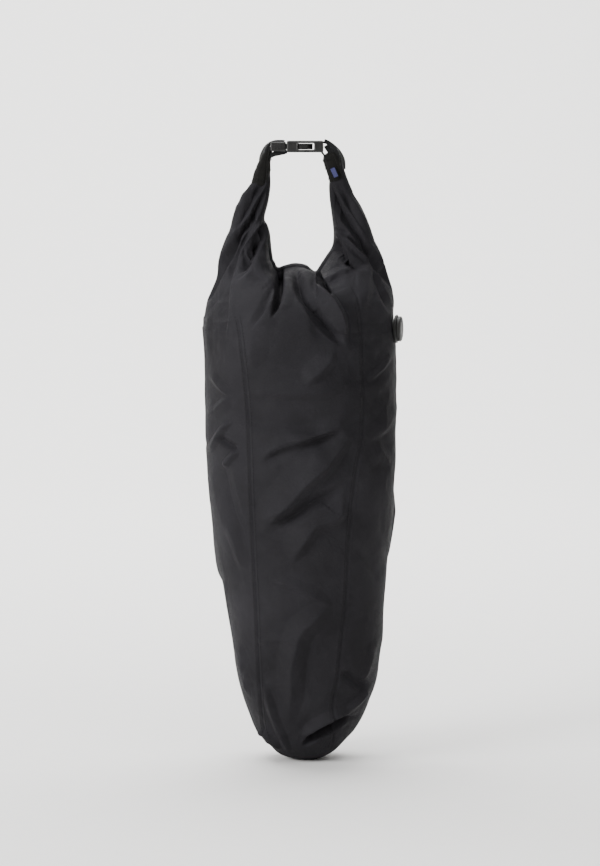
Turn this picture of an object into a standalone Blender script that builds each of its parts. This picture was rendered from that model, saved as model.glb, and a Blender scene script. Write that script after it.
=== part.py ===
"""Roll-top compression sack: a tapered fabric bag of four long panels and a small base.

The mouth is rolled, its two ends are bent up into arms, and a side-release buckle joins
them into a carry loop. A purge valve sits high on the +X side.
Metres, +Z up, front towards -Y, origin at the bottom centre of the whole object.
"""

import math

import bmesh
import bpy
from mathutils import Matrix, Vector

MM = 0.001
GAP = 0.3 * MM

# Fabric body: height, left edge, right edge and half depth of each drawn section.
BODY_SECTIONS_MM = [
    (1.6, -22, 28, 24),
    (7, -30, 34, 31),
    (19, -39, 41, 38),
    (43, -51, 58, 50),
    (79, -64, 72.5, 61),
    (127, -71, 79, 68),
    (199, -84.5, 84, 75),
    (271, -92.5, 89.5, 81),
    (351, -96.5, 92.5, 84),
    (410, -99.4, 92.5, 83),
    (440, -99.7, 91.8, 79),
    (462, -94, 89, 61),
    (476, -89, 86, 37),
    (486, -84, 82, 14),
]
FABRIC = 1.2 * MM
LEVELS_PER_SPAN = 2
AROUND = 56
SEAM_ANGLES = {"front_left": 237, "front_right": 304, "back_right": 56, "back_left": 123}
SEAM_GAP_DEG = 0.5
TAPE_HALF_DEG = 3.2
TAPE = 0.5 * MM
TAPE_LEVELS = (4, -6)
BASE_CENTRE = Vector((3 * MM, 0, 0))
BASE_RADIUS = 24.5 * MM
BASE_PLATE = 1.2 * MM

# Carry loop: both arms mirror each other about the plane x = LOOP_X.
LOOP_X = -5.5 * MM
ARM_PIVOT_OUT = 32.5 * MM
ARM_PIVOT_Z = 494 * MM
ARM_BOTTOM_Z = 493 * MM
ARM_TOP_Z = 597 * MM
ARM_LEAN = 4.5 * MM
ARM_HALF_THICK = 7.5 * MM
ARM_HALF_THICK_TOP = 6 * MM
ARM_HALF_WIDTH = 13 * MM
ROLL_WALL = 3.2 * MM
STIFFENER = 1.2 * MM
ROLL_CENTRE_Z = 492 * MM
ROLL_CENTRE_HALF_HEIGHT = 5 * MM
ROLL_CENTRE_HALF_LENGTH = 22.5 * MM

# Outer edge of each gusset fold: height and x position.
GUSSET_EDGE_MM = {
    "left": [(487.5, -82), (498, -83.5), (522, -76.5), (546, -68), (564, -60), (578, -53)],
    "right": [(487.5, 80.5), (498, 79.5), (522, 68.5), (546, 60), (564, 51), (578, 43)],
}

# Side-release buckle, lying along X at the top of the loop.
BUCKLE_Z = 611.2 * MM
BUCKLE_HALF_HEIGHT = 5.75 * MM
BUCKLE_HALF_WIDTH = 14.5 * MM
BAR_OUT = 23.7 * MM
BAR_RADIUS = 2.2 * MM
BAR_TO_END = 2.3 * MM
MALE_SHOULDER_X = -16.3 * MM
FEMALE_MOUTH_X = -15.6 * MM
SOCKET_END_X = 12.4 * MM
SLOT_HALF_WIDTH = 10.7 * MM
PRONG_TIP_X = 10.2 * MM
WEBBING = 1.4 * MM
WEBBING_HALF_WIDTH = 10 * MM
WEBBING_BEND = 3.3 * MM

# Purge valve, on an axis that points right and a little to the front.
VALVE_CENTRE = Vector((91.1 * MM, -12.2 * MM, 432 * MM))
VALVE_TURN = math.radians(-10)
FLANGE_RADIUS = 14 * MM
SPIGOT_RADIUS = 9.2 * MM
SPIGOT_BORE = 7.4 * MM

PARTS = None
CUTTERS = None


def clear_scene():
    for obj in list(bpy.data.objects):
        bpy.data.objects.remove(obj, do_unlink=True)


def new_collection(name):
    collection = bpy.data.collections.new(name)
    bpy.context.scene.collection.children.link(collection)
    return collection


def material(name, colour, roughness, metallic=0.0):
    found = bpy.data.materials.get(name)
    if found:
        return found
    made = bpy.data.materials.new(name)
    made.use_nodes = True
    shader = made.node_tree.nodes["Principled BSDF"]
    shader.inputs["Base Color"].default_value = (*colour, 1)
    shader.inputs["Roughness"].default_value = roughness
    shader.inputs["Metallic"].default_value = metallic
    return made


def fabric():
    return material("coated_fabric", (0.035, 0.036, 0.04), 0.6)


def webbing():
    return material("webbing", (0.025, 0.025, 0.027), 0.8)


def plastic():
    return material("black_plastic", (0.018, 0.018, 0.018), 0.4)


def add_object(name, mesh, look, smooth_angle=40):
    mesh.materials.append(look)
    mesh.shade_smooth()
    mesh.set_sharp_from_angle(angle=math.radians(smooth_angle))
    obj = bpy.data.objects.new(name, mesh)
    PARTS.objects.link(obj)
    return obj


def mesh_from_bmesh(name, bm):
    bmesh.ops.recalc_face_normals(bm, faces=bm.faces)
    mesh = bpy.data.meshes.new(name)
    bm.to_mesh(mesh)
    bm.free()
    return mesh


def bridge_rings(bm, rings, closed=True):
    """Joins neighbouring rings of points with quads."""
    count = len(rings[0])
    for low, high in zip(rings, rings[1:]):
        for i in range(count if closed else count - 1):
            j = (i + 1) % count
            bm.faces.new((low[i], low[j], high[j], high[i]))


def lofted_solid(name, rings, look):
    """A closed solid through the rings, with a flat cap at each end."""
    bm = bmesh.new()
    verts = [[bm.verts.new(p) for p in ring] for ring in rings]
    bridge_rings(bm, verts)
    bm.faces.new(verts[0])
    bm.faces.new(verts[-1])
    return add_object(name, mesh_from_bmesh(name, bm), look)


def lofted_tube(name, outer, inner, look):
    """A tube with a wall between the outer and the inner rings, open at both ends."""
    bm = bmesh.new()
    rings = [[bm.verts.new(p) for p in ring] for ring in outer + inner[::-1]]
    bridge_rings(bm, rings + [rings[0]])
    return add_object(name, mesh_from_bmesh(name, bm), look)


def rounded_ring(centre, across, along, half_across, half_along, count=16, power=3.5):
    """A rounded rectangle of points in the plane of the directions across and along."""
    ring = []
    for i in range(count):
        angle = 2 * math.pi * i / count
        c = math.cos(angle)
        s = math.sin(angle)
        scale = (abs(c) ** power + abs(s) ** power) ** (-1 / power)
        ring.append(centre + across * (half_across * c * scale) + along * (half_along * s * scale))
    return ring


def turned(name, profile, parent, look, steps=32):
    """A solid turned about the parent's Z axis; the profile closes on itself."""
    bm = bmesh.new()
    verts = [bm.verts.new((r, 0, z)) for r, z in profile]
    for a, b in zip(verts, verts[1:] + verts[:1]):
        bm.edges.new((a, b))
    mesh = bpy.data.meshes.new(name)
    bm.to_mesh(mesh)
    bm.free()
    obj = add_object(name, mesh, look)
    screw = obj.modifiers.new("turn", "SCREW")
    screw.steps = steps
    screw.render_steps = steps
    screw.use_merge_vertices = True
    screw.merge_threshold = 0.00001
    screw.use_smooth_shade = True
    obj.parent = parent
    return obj


def cutter_box(name, low, high):
    """A box that other parts are cut with."""
    bm = bmesh.new()
    bmesh.ops.create_cube(bm, size=1)
    size = Vector(high) - Vector(low)
    centre = (Vector(high) + Vector(low)) / 2
    bmesh.ops.scale(bm, vec=size, verts=bm.verts)
    bmesh.ops.translate(bm, vec=centre, verts=bm.verts)
    mesh = bpy.data.meshes.new(name)
    bm.to_mesh(mesh)
    bm.free()
    obj = bpy.data.objects.new(name, mesh)
    return as_cutter(obj)


def cutter_cylinder(name, centre, radius, length, turn):
    """A cylinder whose axis is Z turned by the given matrix."""
    bm = bmesh.new()
    bmesh.ops.create_cone(
        bm, cap_ends=True, segments=32, radius1=radius, radius2=radius, depth=length
    )
    mesh = bpy.data.meshes.new(name)
    bm.to_mesh(mesh)
    bm.free()
    obj = bpy.data.objects.new(name, mesh)
    obj.matrix_world = Matrix.Translation(centre) @ turn.to_4x4()
    return as_cutter(obj)


def as_cutter(obj):
    CUTTERS.objects.link(obj)
    obj.hide_render = True
    obj.display_type = "WIRE"
    return obj


def boolean(obj, other, operation="DIFFERENCE"):
    modifier = obj.modifiers.new(other.name, "BOOLEAN")
    modifier.operation = operation
    modifier.solver = "EXACT"
    modifier.object = other


def bevel(obj, width, segments=2):
    modifier = obj.modifiers.new("bevel", "BEVEL")
    modifier.width = width
    modifier.segments = segments
    modifier.limit_method = "ANGLE"
    modifier.angle_limit = math.radians(40)


def rounded_box(name, low, high, look, radius):
    bm = bmesh.new()
    bmesh.ops.create_cube(bm, size=1)
    bmesh.ops.scale(bm, vec=Vector(high) - Vector(low), verts=bm.verts)
    bmesh.ops.translate(bm, vec=(Vector(high) + Vector(low)) / 2, verts=bm.verts)
    obj = add_object(name, mesh_from_bmesh(name, bm), look)
    bevel(obj, radius)
    return obj


# ---------------------------------------------------------------- fabric body


def smooth_sections():
    """The drawn sections with Catmull-Rom levels between them, in metres."""
    rows = [Vector(row) * MM for row in BODY_SECTIONS_MM]
    levels = []
    for i in range(len(rows) - 1):
        before = rows[max(i - 1, 0)]
        after = rows[min(i + 2, len(rows) - 1)]
        for step in range(LEVELS_PER_SPAN):
            t = step / LEVELS_PER_SPAN
            slope_a = (rows[i + 1] - before) / 2 if i else rows[i + 1] - rows[i]
            slope_b = (after - rows[i]) / 2
            levels.append(
                rows[i] * (2 * t**3 - 3 * t**2 + 1)
                + slope_a * (t**3 - 2 * t**2 + t)
                + rows[i + 1] * (3 * t**2 - 2 * t**3)
                + slope_b * (t**3 - t**2)
            )
    return levels + [rows[-1]]


def section_point(level, degrees):
    """The point of an elliptic section at an angle from +X."""
    z, left, right, half_depth = level
    angle = math.radians(degrees)
    reach = (right - left) / 2 * math.cos(angle)
    return Vector(((left + right) / 2 + reach, half_depth * math.sin(angle), z))


def body_point(levels, index, degrees, inset=0.0):
    """A point of the body's surface, moved inwards along its normal by inset."""
    point = section_point(levels[index], degrees)
    if not inset:
        return point
    around = section_point(levels[index], degrees + 1) - section_point(levels[index], degrees - 1)
    below = section_point(levels[max(index - 1, 0)], degrees)
    above = section_point(levels[min(index + 1, len(levels) - 1)], degrees)
    return point - around.cross(above - below).normalized() * inset


def body_strip(name, levels, start, stop, steps, inset, thickness, look):
    """A shell over one sector of the body, as an open surface with Solidify."""
    bm = bmesh.new()
    rows = []
    for index in range(len(levels)):
        angles = [start + (stop - start) * i / steps for i in range(steps + 1)]
        rows.append([bm.verts.new(body_point(levels, index, a, inset)) for a in angles])
    bridge_rings(bm, rows, closed=False)
    mesh = bpy.data.meshes.new(name)
    bm.to_mesh(mesh)
    bm.free()
    obj = add_object(name, mesh, look, smooth_angle=60)
    solid = obj.modifiers.new("thickness", "SOLIDIFY")
    solid.thickness = thickness
    solid.offset = -1
    solid.use_even_offset = False
    return obj


def make_panels(levels):
    """Four long panels, each between two seams."""
    seams = SEAM_ANGLES
    sectors = {
        "front_panel": (seams["front_left"], seams["front_right"]),
        "right_panel": (seams["front_right"] - 360, seams["back_right"]),
        "back_panel": (seams["back_right"], seams["back_left"]),
        "left_panel": (seams["back_left"], seams["front_left"]),
    }
    panels = {}
    for name, (start, stop) in sectors.items():
        steps = round(AROUND * (stop - start) / 360)
        panels[name] = body_strip(
            name, levels, start + SEAM_GAP_DEG, stop - SEAM_GAP_DEG, steps, 0, FABRIC, fabric()
        )
    return panels


def make_seam_tapes(levels):
    """A narrow tape inside each long seam."""
    first, last = TAPE_LEVELS
    look = material("seam_tape", (0.12, 0.12, 0.12), 0.5)
    for name, angle in SEAM_ANGLES.items():
        body_strip(
            "seam_tape_" + name,
            levels[first:last],
            angle - TAPE_HALF_DEG,
            angle + TAPE_HALF_DEG,
            2,
            FABRIC + 2 * GAP,
            TAPE,
            look,
        )


def make_base():
    """The round base panel that the sack stands on."""
    bm = bmesh.new()
    bmesh.ops.create_cone(
        bm,
        cap_ends=True,
        segments=40,
        radius1=BASE_RADIUS,
        radius2=BASE_RADIUS,
        depth=BASE_PLATE,
    )
    place = Matrix.Translation(BASE_CENTRE + Vector((0, 0, BASE_PLATE / 2)))
    bmesh.ops.transform(bm, matrix=place, verts=bm.verts)
    add_object("base_panel", mesh_from_bmesh("base_panel", bm), fabric())


# ---------------------------------------------------------------- rolled mouth and arms


def outward(side):
    return -1 if side == "left" else 1


def arm_x(side, out):
    """World x of a place that is out metres from the loop's middle plane."""
    return LOOP_X + outward(side) * out


def arm_frame(side, share):
    """Centre and half thickness of an arm at a share of its height."""
    z = ARM_BOTTOM_Z + (ARM_TOP_Z - ARM_BOTTOM_Z) * share
    centre = Vector((arm_x(side, ARM_PIVOT_OUT + ARM_LEAN * share), 0, z))
    thick = ARM_HALF_THICK + (ARM_HALF_THICK_TOP - ARM_HALF_THICK) * share
    return centre, thick


def make_roll_centre():
    """The middle stretch of the rolled mouth, with its stiffener inside."""
    ends = [LOOP_X - ROLL_CENTRE_HALF_LENGTH, LOOP_X + ROLL_CENTRE_HALF_LENGTH]
    xs = [ends[0] + (ends[1] - ends[0]) * i / 4 for i in range(5)]
    y_axis = Vector((0, 1, 0))
    z_axis = Vector((0, 0, 1))
    outer = []
    inner = []
    for x in xs:
        centre = Vector((x, 0, ROLL_CENTRE_Z))
        outer.append(
            rounded_ring(centre, y_axis, z_axis, ARM_HALF_WIDTH, ROLL_CENTRE_HALF_HEIGHT)
        )
        inner.append(
            rounded_ring(
                centre,
                y_axis,
                z_axis,
                ARM_HALF_WIDTH - ROLL_WALL,
                ROLL_CENTRE_HALF_HEIGHT - ROLL_WALL,
            )
        )
    lofted_tube("mouth_roll_center", outer, inner, fabric())
    half = Vector(
        (
            ROLL_CENTRE_HALF_LENGTH - 1 * MM,
            ARM_HALF_WIDTH - ROLL_WALL - 1.5 * MM,
            STIFFENER / 2,
        )
    )
    middle = Vector((LOOP_X, 0, ROLL_CENTRE_Z))
    rounded_box("hem_stiffener_center", middle - half, middle + half, stiffener_look(), 0.2 * MM)


def stiffener_look():
    return material("hem_stiffener", (0.05, 0.05, 0.05), 0.45)


def make_arm(side, pivot):
    """One bent-up end of the rolled mouth: a tube of fabric round a stiffener."""
    x_axis = Vector((1, 0, 0))
    y_axis = Vector((0, 1, 0))
    shares = [i / 6 for i in range(7)]
    outer = []
    inner = []
    strip = []
    for share in shares:
        centre, thick = arm_frame(side, share)
        outer.append(rounded_ring(centre, x_axis, y_axis, thick, ARM_HALF_WIDTH))
        inner.append(
            rounded_ring(centre, x_axis, y_axis, thick - ROLL_WALL, ARM_HALF_WIDTH - ROLL_WALL)
        )
        inside = centre + Vector((0, 0, 2 * MM * (1 - 2 * share)))
        strip.append(
            rounded_ring(
                inside, x_axis, y_axis, STIFFENER / 2, ARM_HALF_WIDTH - ROLL_WALL - 1.5 * MM, 12
            )
        )
    to_pivot = pivot.matrix_world.inverted()
    for obj in (
        lofted_tube("mouth_roll_" + side, outer, inner, fabric()),
        lofted_solid("hem_stiffener_" + side, strip, stiffener_look()),
    ):
        move_origin(obj, pivot, to_pivot)


def move_origin(obj, pivot, to_pivot):
    """Keeps the mesh in place and gives it the pivot's origin."""
    obj.data.transform(to_pivot)
    obj.parent = pivot


def make_gusset(side, pivot):
    """The loose side fabric folded between an arm and the shoulder."""
    x_axis = Vector((1, 0, 0))
    y_axis = Vector((0, 1, 0))
    rings = []
    for z_mm, edge_mm in GUSSET_EDGE_MM[side]:
        share = max(0, (z_mm * MM - ARM_BOTTOM_Z) / (ARM_TOP_Z - ARM_BOTTOM_Z))
        centre, thick = arm_frame(side, share)
        near = centre.x + outward(side) * (thick + 2 * GAP)
        far = edge_mm * MM
        half_depth = 5 * MM + 0.22 * abs(far - near)
        middle = Vector(((near + far) / 2, 0, z_mm * MM))
        rings.append(rounded_ring(middle, x_axis, y_axis, abs(far - near) / 2, half_depth, 16, 2.4))
    obj = lofted_solid("gusset_fold_" + side, rings, fabric())
    move_origin(obj, pivot, pivot.matrix_world.inverted())


def ribbon(name, route, thickness, half_width, look):
    """A flat strap that follows a route of (x, z) points and is as wide as Y needs."""
    count = len(route)
    left = []
    right = []
    for i, (x, z) in enumerate(route):
        ahead = Vector(route[min(i + 1, count - 1)]) - Vector(route[max(i - 1, 0)])
        side = Vector((-ahead.y, ahead.x)).normalized() * (thickness / 2)
        left.append((x + side.x, z + side.y))
        right.append((x - side.x, z - side.y))
    bm = bmesh.new()
    rings = []
    for a, b in zip(left, right):
        corners = [(a, -half_width), (b, -half_width), (b, half_width), (a, half_width)]
        rings.append([bm.verts.new((p[0], y, p[1])) for p, y in corners])
    bridge_rings(bm, rings)
    bm.faces.new(rings[0])
    bm.faces.new(rings[-1])
    return add_object(name, mesh_from_bmesh(name, bm), look, smooth_angle=50)


def make_tab(side, pivot):
    """Webbing that is sewn to the arm, goes round the buckle's bar and comes back."""
    out = outward(side)
    bar_x = arm_x(side, BAR_OUT)
    sewn = []
    for share in (0.80, 0.92):
        centre, thick = arm_frame(side, share)
        sewn.append((centre.x - out * (thick + GAP + WEBBING / 2), centre.z))
    loop = []
    for degrees in range(-10, 191, 20):
        angle = math.radians(degrees)
        x = bar_x + out * WEBBING_BEND * math.cos(angle)
        loop.append((x, BUCKLE_Z + WEBBING_BEND * math.sin(angle)))
    step = WEBBING + GAP
    below = BUCKLE_Z - 6.5 * MM
    route = [sewn[0], sewn[1], (bar_x + out * 3.1 * MM, below)]
    route += loop
    route += [(bar_x - out * 2.4 * MM, below), (sewn[1][0] - out * step, sewn[1][1])]
    route += [(sewn[0][0] - out * step, sewn[0][1])]
    obj = ribbon("webbing_tab_" + side, route, WEBBING, WEBBING_HALF_WIDTH, webbing())
    to_pivot = pivot.matrix_world.inverted()
    move_origin(obj, pivot, to_pivot)
    stitch_x = sewn[0][0] - out * (step + WEBBING / 2 + GAP + 0.3 * MM)
    half = Vector((0.3 * MM, 7.5 * MM, 1.2 * MM))
    lean = -out * ARM_LEAN * 0.02
    centre = Vector((stitch_x + lean, 0, sewn[0][1] + 4 * MM))
    thread = material("thread", (0.03, 0.03, 0.03), 0.7)
    name = "bar_tack_" + side
    stitches = rounded_box(name, centre - half, centre + half, thread, 0.15 * MM)
    move_origin(stitches, pivot, to_pivot)


def make_side_tag(pivot):
    """A small folded label sewn to the right arm's edge, towards the front."""
    centre, thick = arm_frame("right", 0.86)
    low = Vector((centre.x - 5 * MM, -ARM_HALF_WIDTH - 2.2 * MM, centre.z - 6 * MM))
    high = Vector((centre.x + 4 * MM, -ARM_HALF_WIDTH - 0.6 * MM, centre.z + 5 * MM))
    cloth = material("tag_cloth", (0.06, 0.06, 0.2), 0.7)
    tag = rounded_box("side_tag", low, high, cloth, 0.3 * MM)
    move_origin(tag, pivot, pivot.matrix_world.inverted())


# ---------------------------------------------------------------- buckle


def bar_with_cut(obj, prefix, bar_x, slot_low, slot_high):
    """Cuts the webbing slot and puts a round bar across it."""
    slot = cutter_box(
        prefix + "_slot",
        (slot_low, -SLOT_HALF_WIDTH, BUCKLE_Z - 20 * MM),
        (slot_high, SLOT_HALF_WIDTH, BUCKLE_Z + 20 * MM),
    )
    boolean(obj, slot)
    along_y = Matrix.Rotation(math.pi / 2, 3, "X")
    bar = cutter_cylinder(
        prefix + "_bar",
        Vector((bar_x, 0, BUCKLE_Z)),
        BAR_RADIUS,
        2 * SLOT_HALF_WIDTH + 2 * MM,
        along_y,
    )
    boolean(obj, bar, "UNION")


def make_male(pivot):
    """The male half: a shouldered block with a webbing bar and a centre tongue."""
    bar_x = arm_x("left", BAR_OUT)
    end_x = bar_x - BAR_TO_END
    obj = rounded_box(
        "buckle_male",
        (end_x, -BUCKLE_HALF_WIDTH + 0.5 * MM, BUCKLE_Z - 4.6 * MM),
        (MALE_SHOULDER_X, BUCKLE_HALF_WIDTH - 0.5 * MM, BUCKLE_Z + 4.6 * MM),
        plastic(),
        1.2 * MM,
    )
    bar_with_cut(obj, "male", bar_x, end_x - 2 * MM, bar_x + 6.2 * MM)
    tongue = cutter_box(
        "male_tongue",
        (MALE_SHOULDER_X - 1 * MM, -2.5 * MM, BUCKLE_Z - 2.5 * MM),
        (1 * MM, 2.5 * MM, BUCKLE_Z + 2.5 * MM),
    )
    boolean(obj, tongue, "UNION")
    move_origin(obj, pivot, pivot.matrix_world.inverted())


def make_prong(name, sign, male_pivot):
    """One spring prong. Sign is -1 towards the front and +1 towards the back."""
    root = bpy.data.objects.new(name + "_pivot", None)
    PARTS.objects.link(root)
    root.parent = male_pivot
    hinge = Vector((MALE_SHOULDER_X, sign * 7.9 * MM, BUCKLE_Z))
    root.matrix_world = Matrix.Translation(hinge)
    bpy.context.view_layer.update()
    start = MALE_SHOULDER_X + GAP
    outline = [
        (start, 6.4 * MM),
        (-4 * MM, 7.6 * MM),
        (4 * MM, 6.6 * MM),
        (PRONG_TIP_X - 1.2 * MM, 5.0 * MM),
        (PRONG_TIP_X, 5.8 * MM),
        (PRONG_TIP_X - 0.8 * MM, 8.6 * MM),
        (5 * MM, 12.0 * MM),
        (-1 * MM, 13.6 * MM),
        (-4 * MM, 13.7 * MM),
        (-4.1 * MM, 10.4 * MM),
        (-7 * MM, 9.6 * MM),
        (start, 9.4 * MM),
    ]
    bm = bmesh.new()
    half = 2.8 * MM
    rings = []
    for z in (BUCKLE_Z - half, BUCKLE_Z + half):
        rings.append([bm.verts.new((x, sign * y, z)) for x, y in outline])
    bridge_rings(bm, rings)
    bm.faces.new(rings[0])
    bm.faces.new(rings[1])
    obj = add_object(name, mesh_from_bmesh(name, bm), plastic())
    bevel(obj, 0.35 * MM, 1)
    move_origin(obj, root, root.matrix_world.inverted())


def make_female(pivot):
    """The female half: a socket with side windows and a webbing bar."""
    bar_x = arm_x("right", BAR_OUT)
    end_x = bar_x + BAR_TO_END
    obj = rounded_box(
        "buckle_female",
        (FEMALE_MOUTH_X, -BUCKLE_HALF_WIDTH, BUCKLE_Z - BUCKLE_HALF_HEIGHT),
        (end_x, BUCKLE_HALF_WIDTH, BUCKLE_Z + BUCKLE_HALF_HEIGHT),
        plastic(),
        1.4 * MM,
    )
    bar_with_cut(obj, "female", bar_x, bar_x - 4.3 * MM, end_x + 2 * MM)
    socket = cutter_box(
        "female_socket",
        (FEMALE_MOUTH_X - 2 * MM, -12.3 * MM, BUCKLE_Z - 3.3 * MM),
        (SOCKET_END_X, 12.3 * MM, BUCKLE_Z + 3.3 * MM),
    )
    boolean(obj, socket)
    windows = cutter_box(
        "female_windows",
        (-4.5 * MM, -20 * MM, BUCKLE_Z - 3.3 * MM),
        (SOCKET_END_X - 1 * MM, 20 * MM, BUCKLE_Z + 3.3 * MM),
    )
    boolean(obj, windows)
    move_origin(obj, pivot, pivot.matrix_world.inverted())


# ---------------------------------------------------------------- purge valve


def valve_frame():
    """An empty at the valve's centre, with its Z axis along the valve's axis."""
    axis_z = Vector((math.cos(VALVE_TURN), math.sin(VALVE_TURN), 0))
    axis_y = Vector((0, 0, 1))
    axis_x = axis_y.cross(axis_z)
    turn = Matrix((axis_x, axis_y, axis_z)).transposed()
    empty = bpy.data.objects.new("valve_axis", None)
    PARTS.objects.link(empty)
    empty.matrix_world = Matrix.Translation(VALVE_CENTRE) @ turn.to_4x4()
    return empty


def make_valve(right_panel):
    """Base, gasket, nut, flap and cap, stacked along the valve's axis."""
    frame = valve_frame()
    bpy.context.view_layer.update()
    hole = cutter_cylinder(
        "valve_hole",
        VALVE_CENTRE,
        SPIGOT_RADIUS + 0.5 * MM,
        30 * MM,
        frame.matrix_world.to_3x3(),
    )
    boolean(right_panel, hole)
    rubber = material("valve_rubber", (0.02, 0.02, 0.02), 0.7)
    turned(
        "valve_gasket",
        [
            (FLANGE_RADIUS - 0.6 * MM, 1.2 * MM),
            (FLANGE_RADIUS - 0.6 * MM, 0.4 * MM),
            (SPIGOT_RADIUS + 0.4 * MM, 0.4 * MM),
            (SPIGOT_RADIUS + 0.4 * MM, 1.2 * MM),
        ],
        frame,
        rubber,
    )
    turned(
        "valve_base",
        [
            (FLANGE_RADIUS - 1.6 * MM, 3.1 * MM),
            (FLANGE_RADIUS, 2.5 * MM),
            (FLANGE_RADIUS, 1.5 * MM),
            (SPIGOT_RADIUS, 1.5 * MM),
            (SPIGOT_RADIUS, -7.2 * MM),
            (SPIGOT_BORE, -7.2 * MM),
            (SPIGOT_BORE, -1.2 * MM),
            (5.6 * MM, -1.2 * MM),
            (5.6 * MM, 0.2 * MM),
            (SPIGOT_BORE, 0.2 * MM),
            (SPIGOT_BORE, 3.1 * MM),
        ],
        frame,
        plastic(),
    )
    turned(
        "valve_clamp_nut",
        [
            (FLANGE_RADIUS - 0.5 * MM, -3.8 * MM),
            (FLANGE_RADIUS - 0.5 * MM, -5.8 * MM),
            (SPIGOT_RADIUS + 0.4 * MM, -6.8 * MM),
            (SPIGOT_RADIUS + 0.4 * MM, -3.8 * MM),
        ],
        frame,
        plastic(),
    )
    flap = turned(
        "valve_flap",
        [(0, 1.3 * MM), (6.8 * MM, 1.3 * MM), (6.8 * MM, 0.5 * MM), (0, 0.5 * MM)],
        frame,
        rubber,
    )
    open_profile(flap)
    cap = turned(
        "valve_cap",
        [
            (0, 7.3 * MM),
            (9.6 * MM, 7.3 * MM),
            (11.6 * MM, 6.8 * MM),
            (12.4 * MM, 6.0 * MM),
            (12.4 * MM, 3.6 * MM),
            (9 * MM, 3.6 * MM),
            (9 * MM, 5.6 * MM),
            (0, 5.6 * MM),
        ],
        frame,
        plastic(),
    )
    open_profile(cap)
    for sign in (-1, 1):
        notch = cutter_box(
            "cap_notch_" + ("a" if sign < 0 else "b"),
            (-1.6 * MM, 6.2 * MM, 6.3 * MM),
            (1.6 * MM, 11 * MM, 12 * MM),
        )
        notch.data.transform(Matrix.Rotation(math.pi / 2 * (1 - sign), 4, "Z"))
        notch.parent = frame
        boolean(cap, notch)


def open_profile(obj):
    """Takes the profile's edge on the axis away, so that the middle stays solid."""
    bm = bmesh.new()
    bm.from_mesh(obj.data)
    axis_edges = [e for e in bm.edges if all(abs(v.co.x) < 1e-7 for v in e.verts)]
    bmesh.ops.delete(bm, geom=axis_edges, context="EDGES_FACES")
    bm.to_mesh(obj.data)
    bm.free()


# ---------------------------------------------------------------- assembly


def pivot_empty(name, place, parent=None):
    empty = bpy.data.objects.new(name, None)
    PARTS.objects.link(empty)
    empty.parent = parent
    empty.matrix_world = Matrix.Translation(place)
    bpy.context.view_layer.update()
    return empty


def make_loop():
    """Both arms, their webbing tabs and the buckle halves that swivel on them."""
    arms = {}
    for side in ("left", "right"):
        hinge = Vector((arm_x(side, ARM_PIVOT_OUT), 0, ARM_PIVOT_Z))
        arms[side] = pivot_empty("arm_pivot_" + side, hinge)
        make_arm(side, arms[side])
        make_gusset(side, arms[side])
        make_tab(side, arms[side])
    make_side_tag(arms["right"])
    male = pivot_empty(
        "male_pivot", Vector((arm_x("left", BAR_OUT), 0, BUCKLE_Z)), arms["left"]
    )
    female = pivot_empty(
        "female_pivot", Vector((arm_x("right", BAR_OUT), 0, BUCKLE_Z)), arms["right"]
    )
    make_male(male)
    make_prong("prong_front", -1, male)
    make_prong("prong_back", 1, male)
    make_female(female)


def main():
    global PARTS, CUTTERS
    clear_scene()
    PARTS = new_collection("compression_sack")
    CUTTERS = new_collection("cutters")
    CUTTERS.hide_render = True
    levels = smooth_sections()
    panels = make_panels(levels)
    make_seam_tapes(levels)
    make_base()
    make_roll_centre()
    make_loop()
    make_valve(panels["right_panel"])


main()
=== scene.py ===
"""The compression sack's looks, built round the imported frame.

The fabric is one skin of columns that run from the bottom up to the edge of the carry
loop. Facets are pushed into it, a short cloth simulation lets it buckle, and folds, seams
and puckers follow. It is then cut into the sack and its two arms. Helpers work in
millimetres until a mesh is made.
"""

import math

import bmesh
import bpy
import numpy as np
from mathutils import Matrix, Vector
from mathutils.bvhtree import BVHTree


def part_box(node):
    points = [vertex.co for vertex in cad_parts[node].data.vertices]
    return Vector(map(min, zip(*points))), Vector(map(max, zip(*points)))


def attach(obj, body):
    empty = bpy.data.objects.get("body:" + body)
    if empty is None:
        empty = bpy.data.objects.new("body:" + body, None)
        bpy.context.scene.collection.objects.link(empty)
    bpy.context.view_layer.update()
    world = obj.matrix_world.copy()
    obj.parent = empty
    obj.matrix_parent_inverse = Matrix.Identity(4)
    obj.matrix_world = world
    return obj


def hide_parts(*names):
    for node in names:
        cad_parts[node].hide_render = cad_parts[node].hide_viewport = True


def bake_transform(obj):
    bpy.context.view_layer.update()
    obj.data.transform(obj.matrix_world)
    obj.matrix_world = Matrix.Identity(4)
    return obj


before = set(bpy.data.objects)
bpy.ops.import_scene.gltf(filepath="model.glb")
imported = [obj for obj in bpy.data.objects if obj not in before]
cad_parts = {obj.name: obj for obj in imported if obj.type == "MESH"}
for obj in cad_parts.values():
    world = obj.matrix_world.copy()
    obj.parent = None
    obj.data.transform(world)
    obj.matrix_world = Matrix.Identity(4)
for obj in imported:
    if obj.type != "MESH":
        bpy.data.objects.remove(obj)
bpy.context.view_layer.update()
MM = 0.001

# ---------------------------------------------------------------- driving shapes

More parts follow.
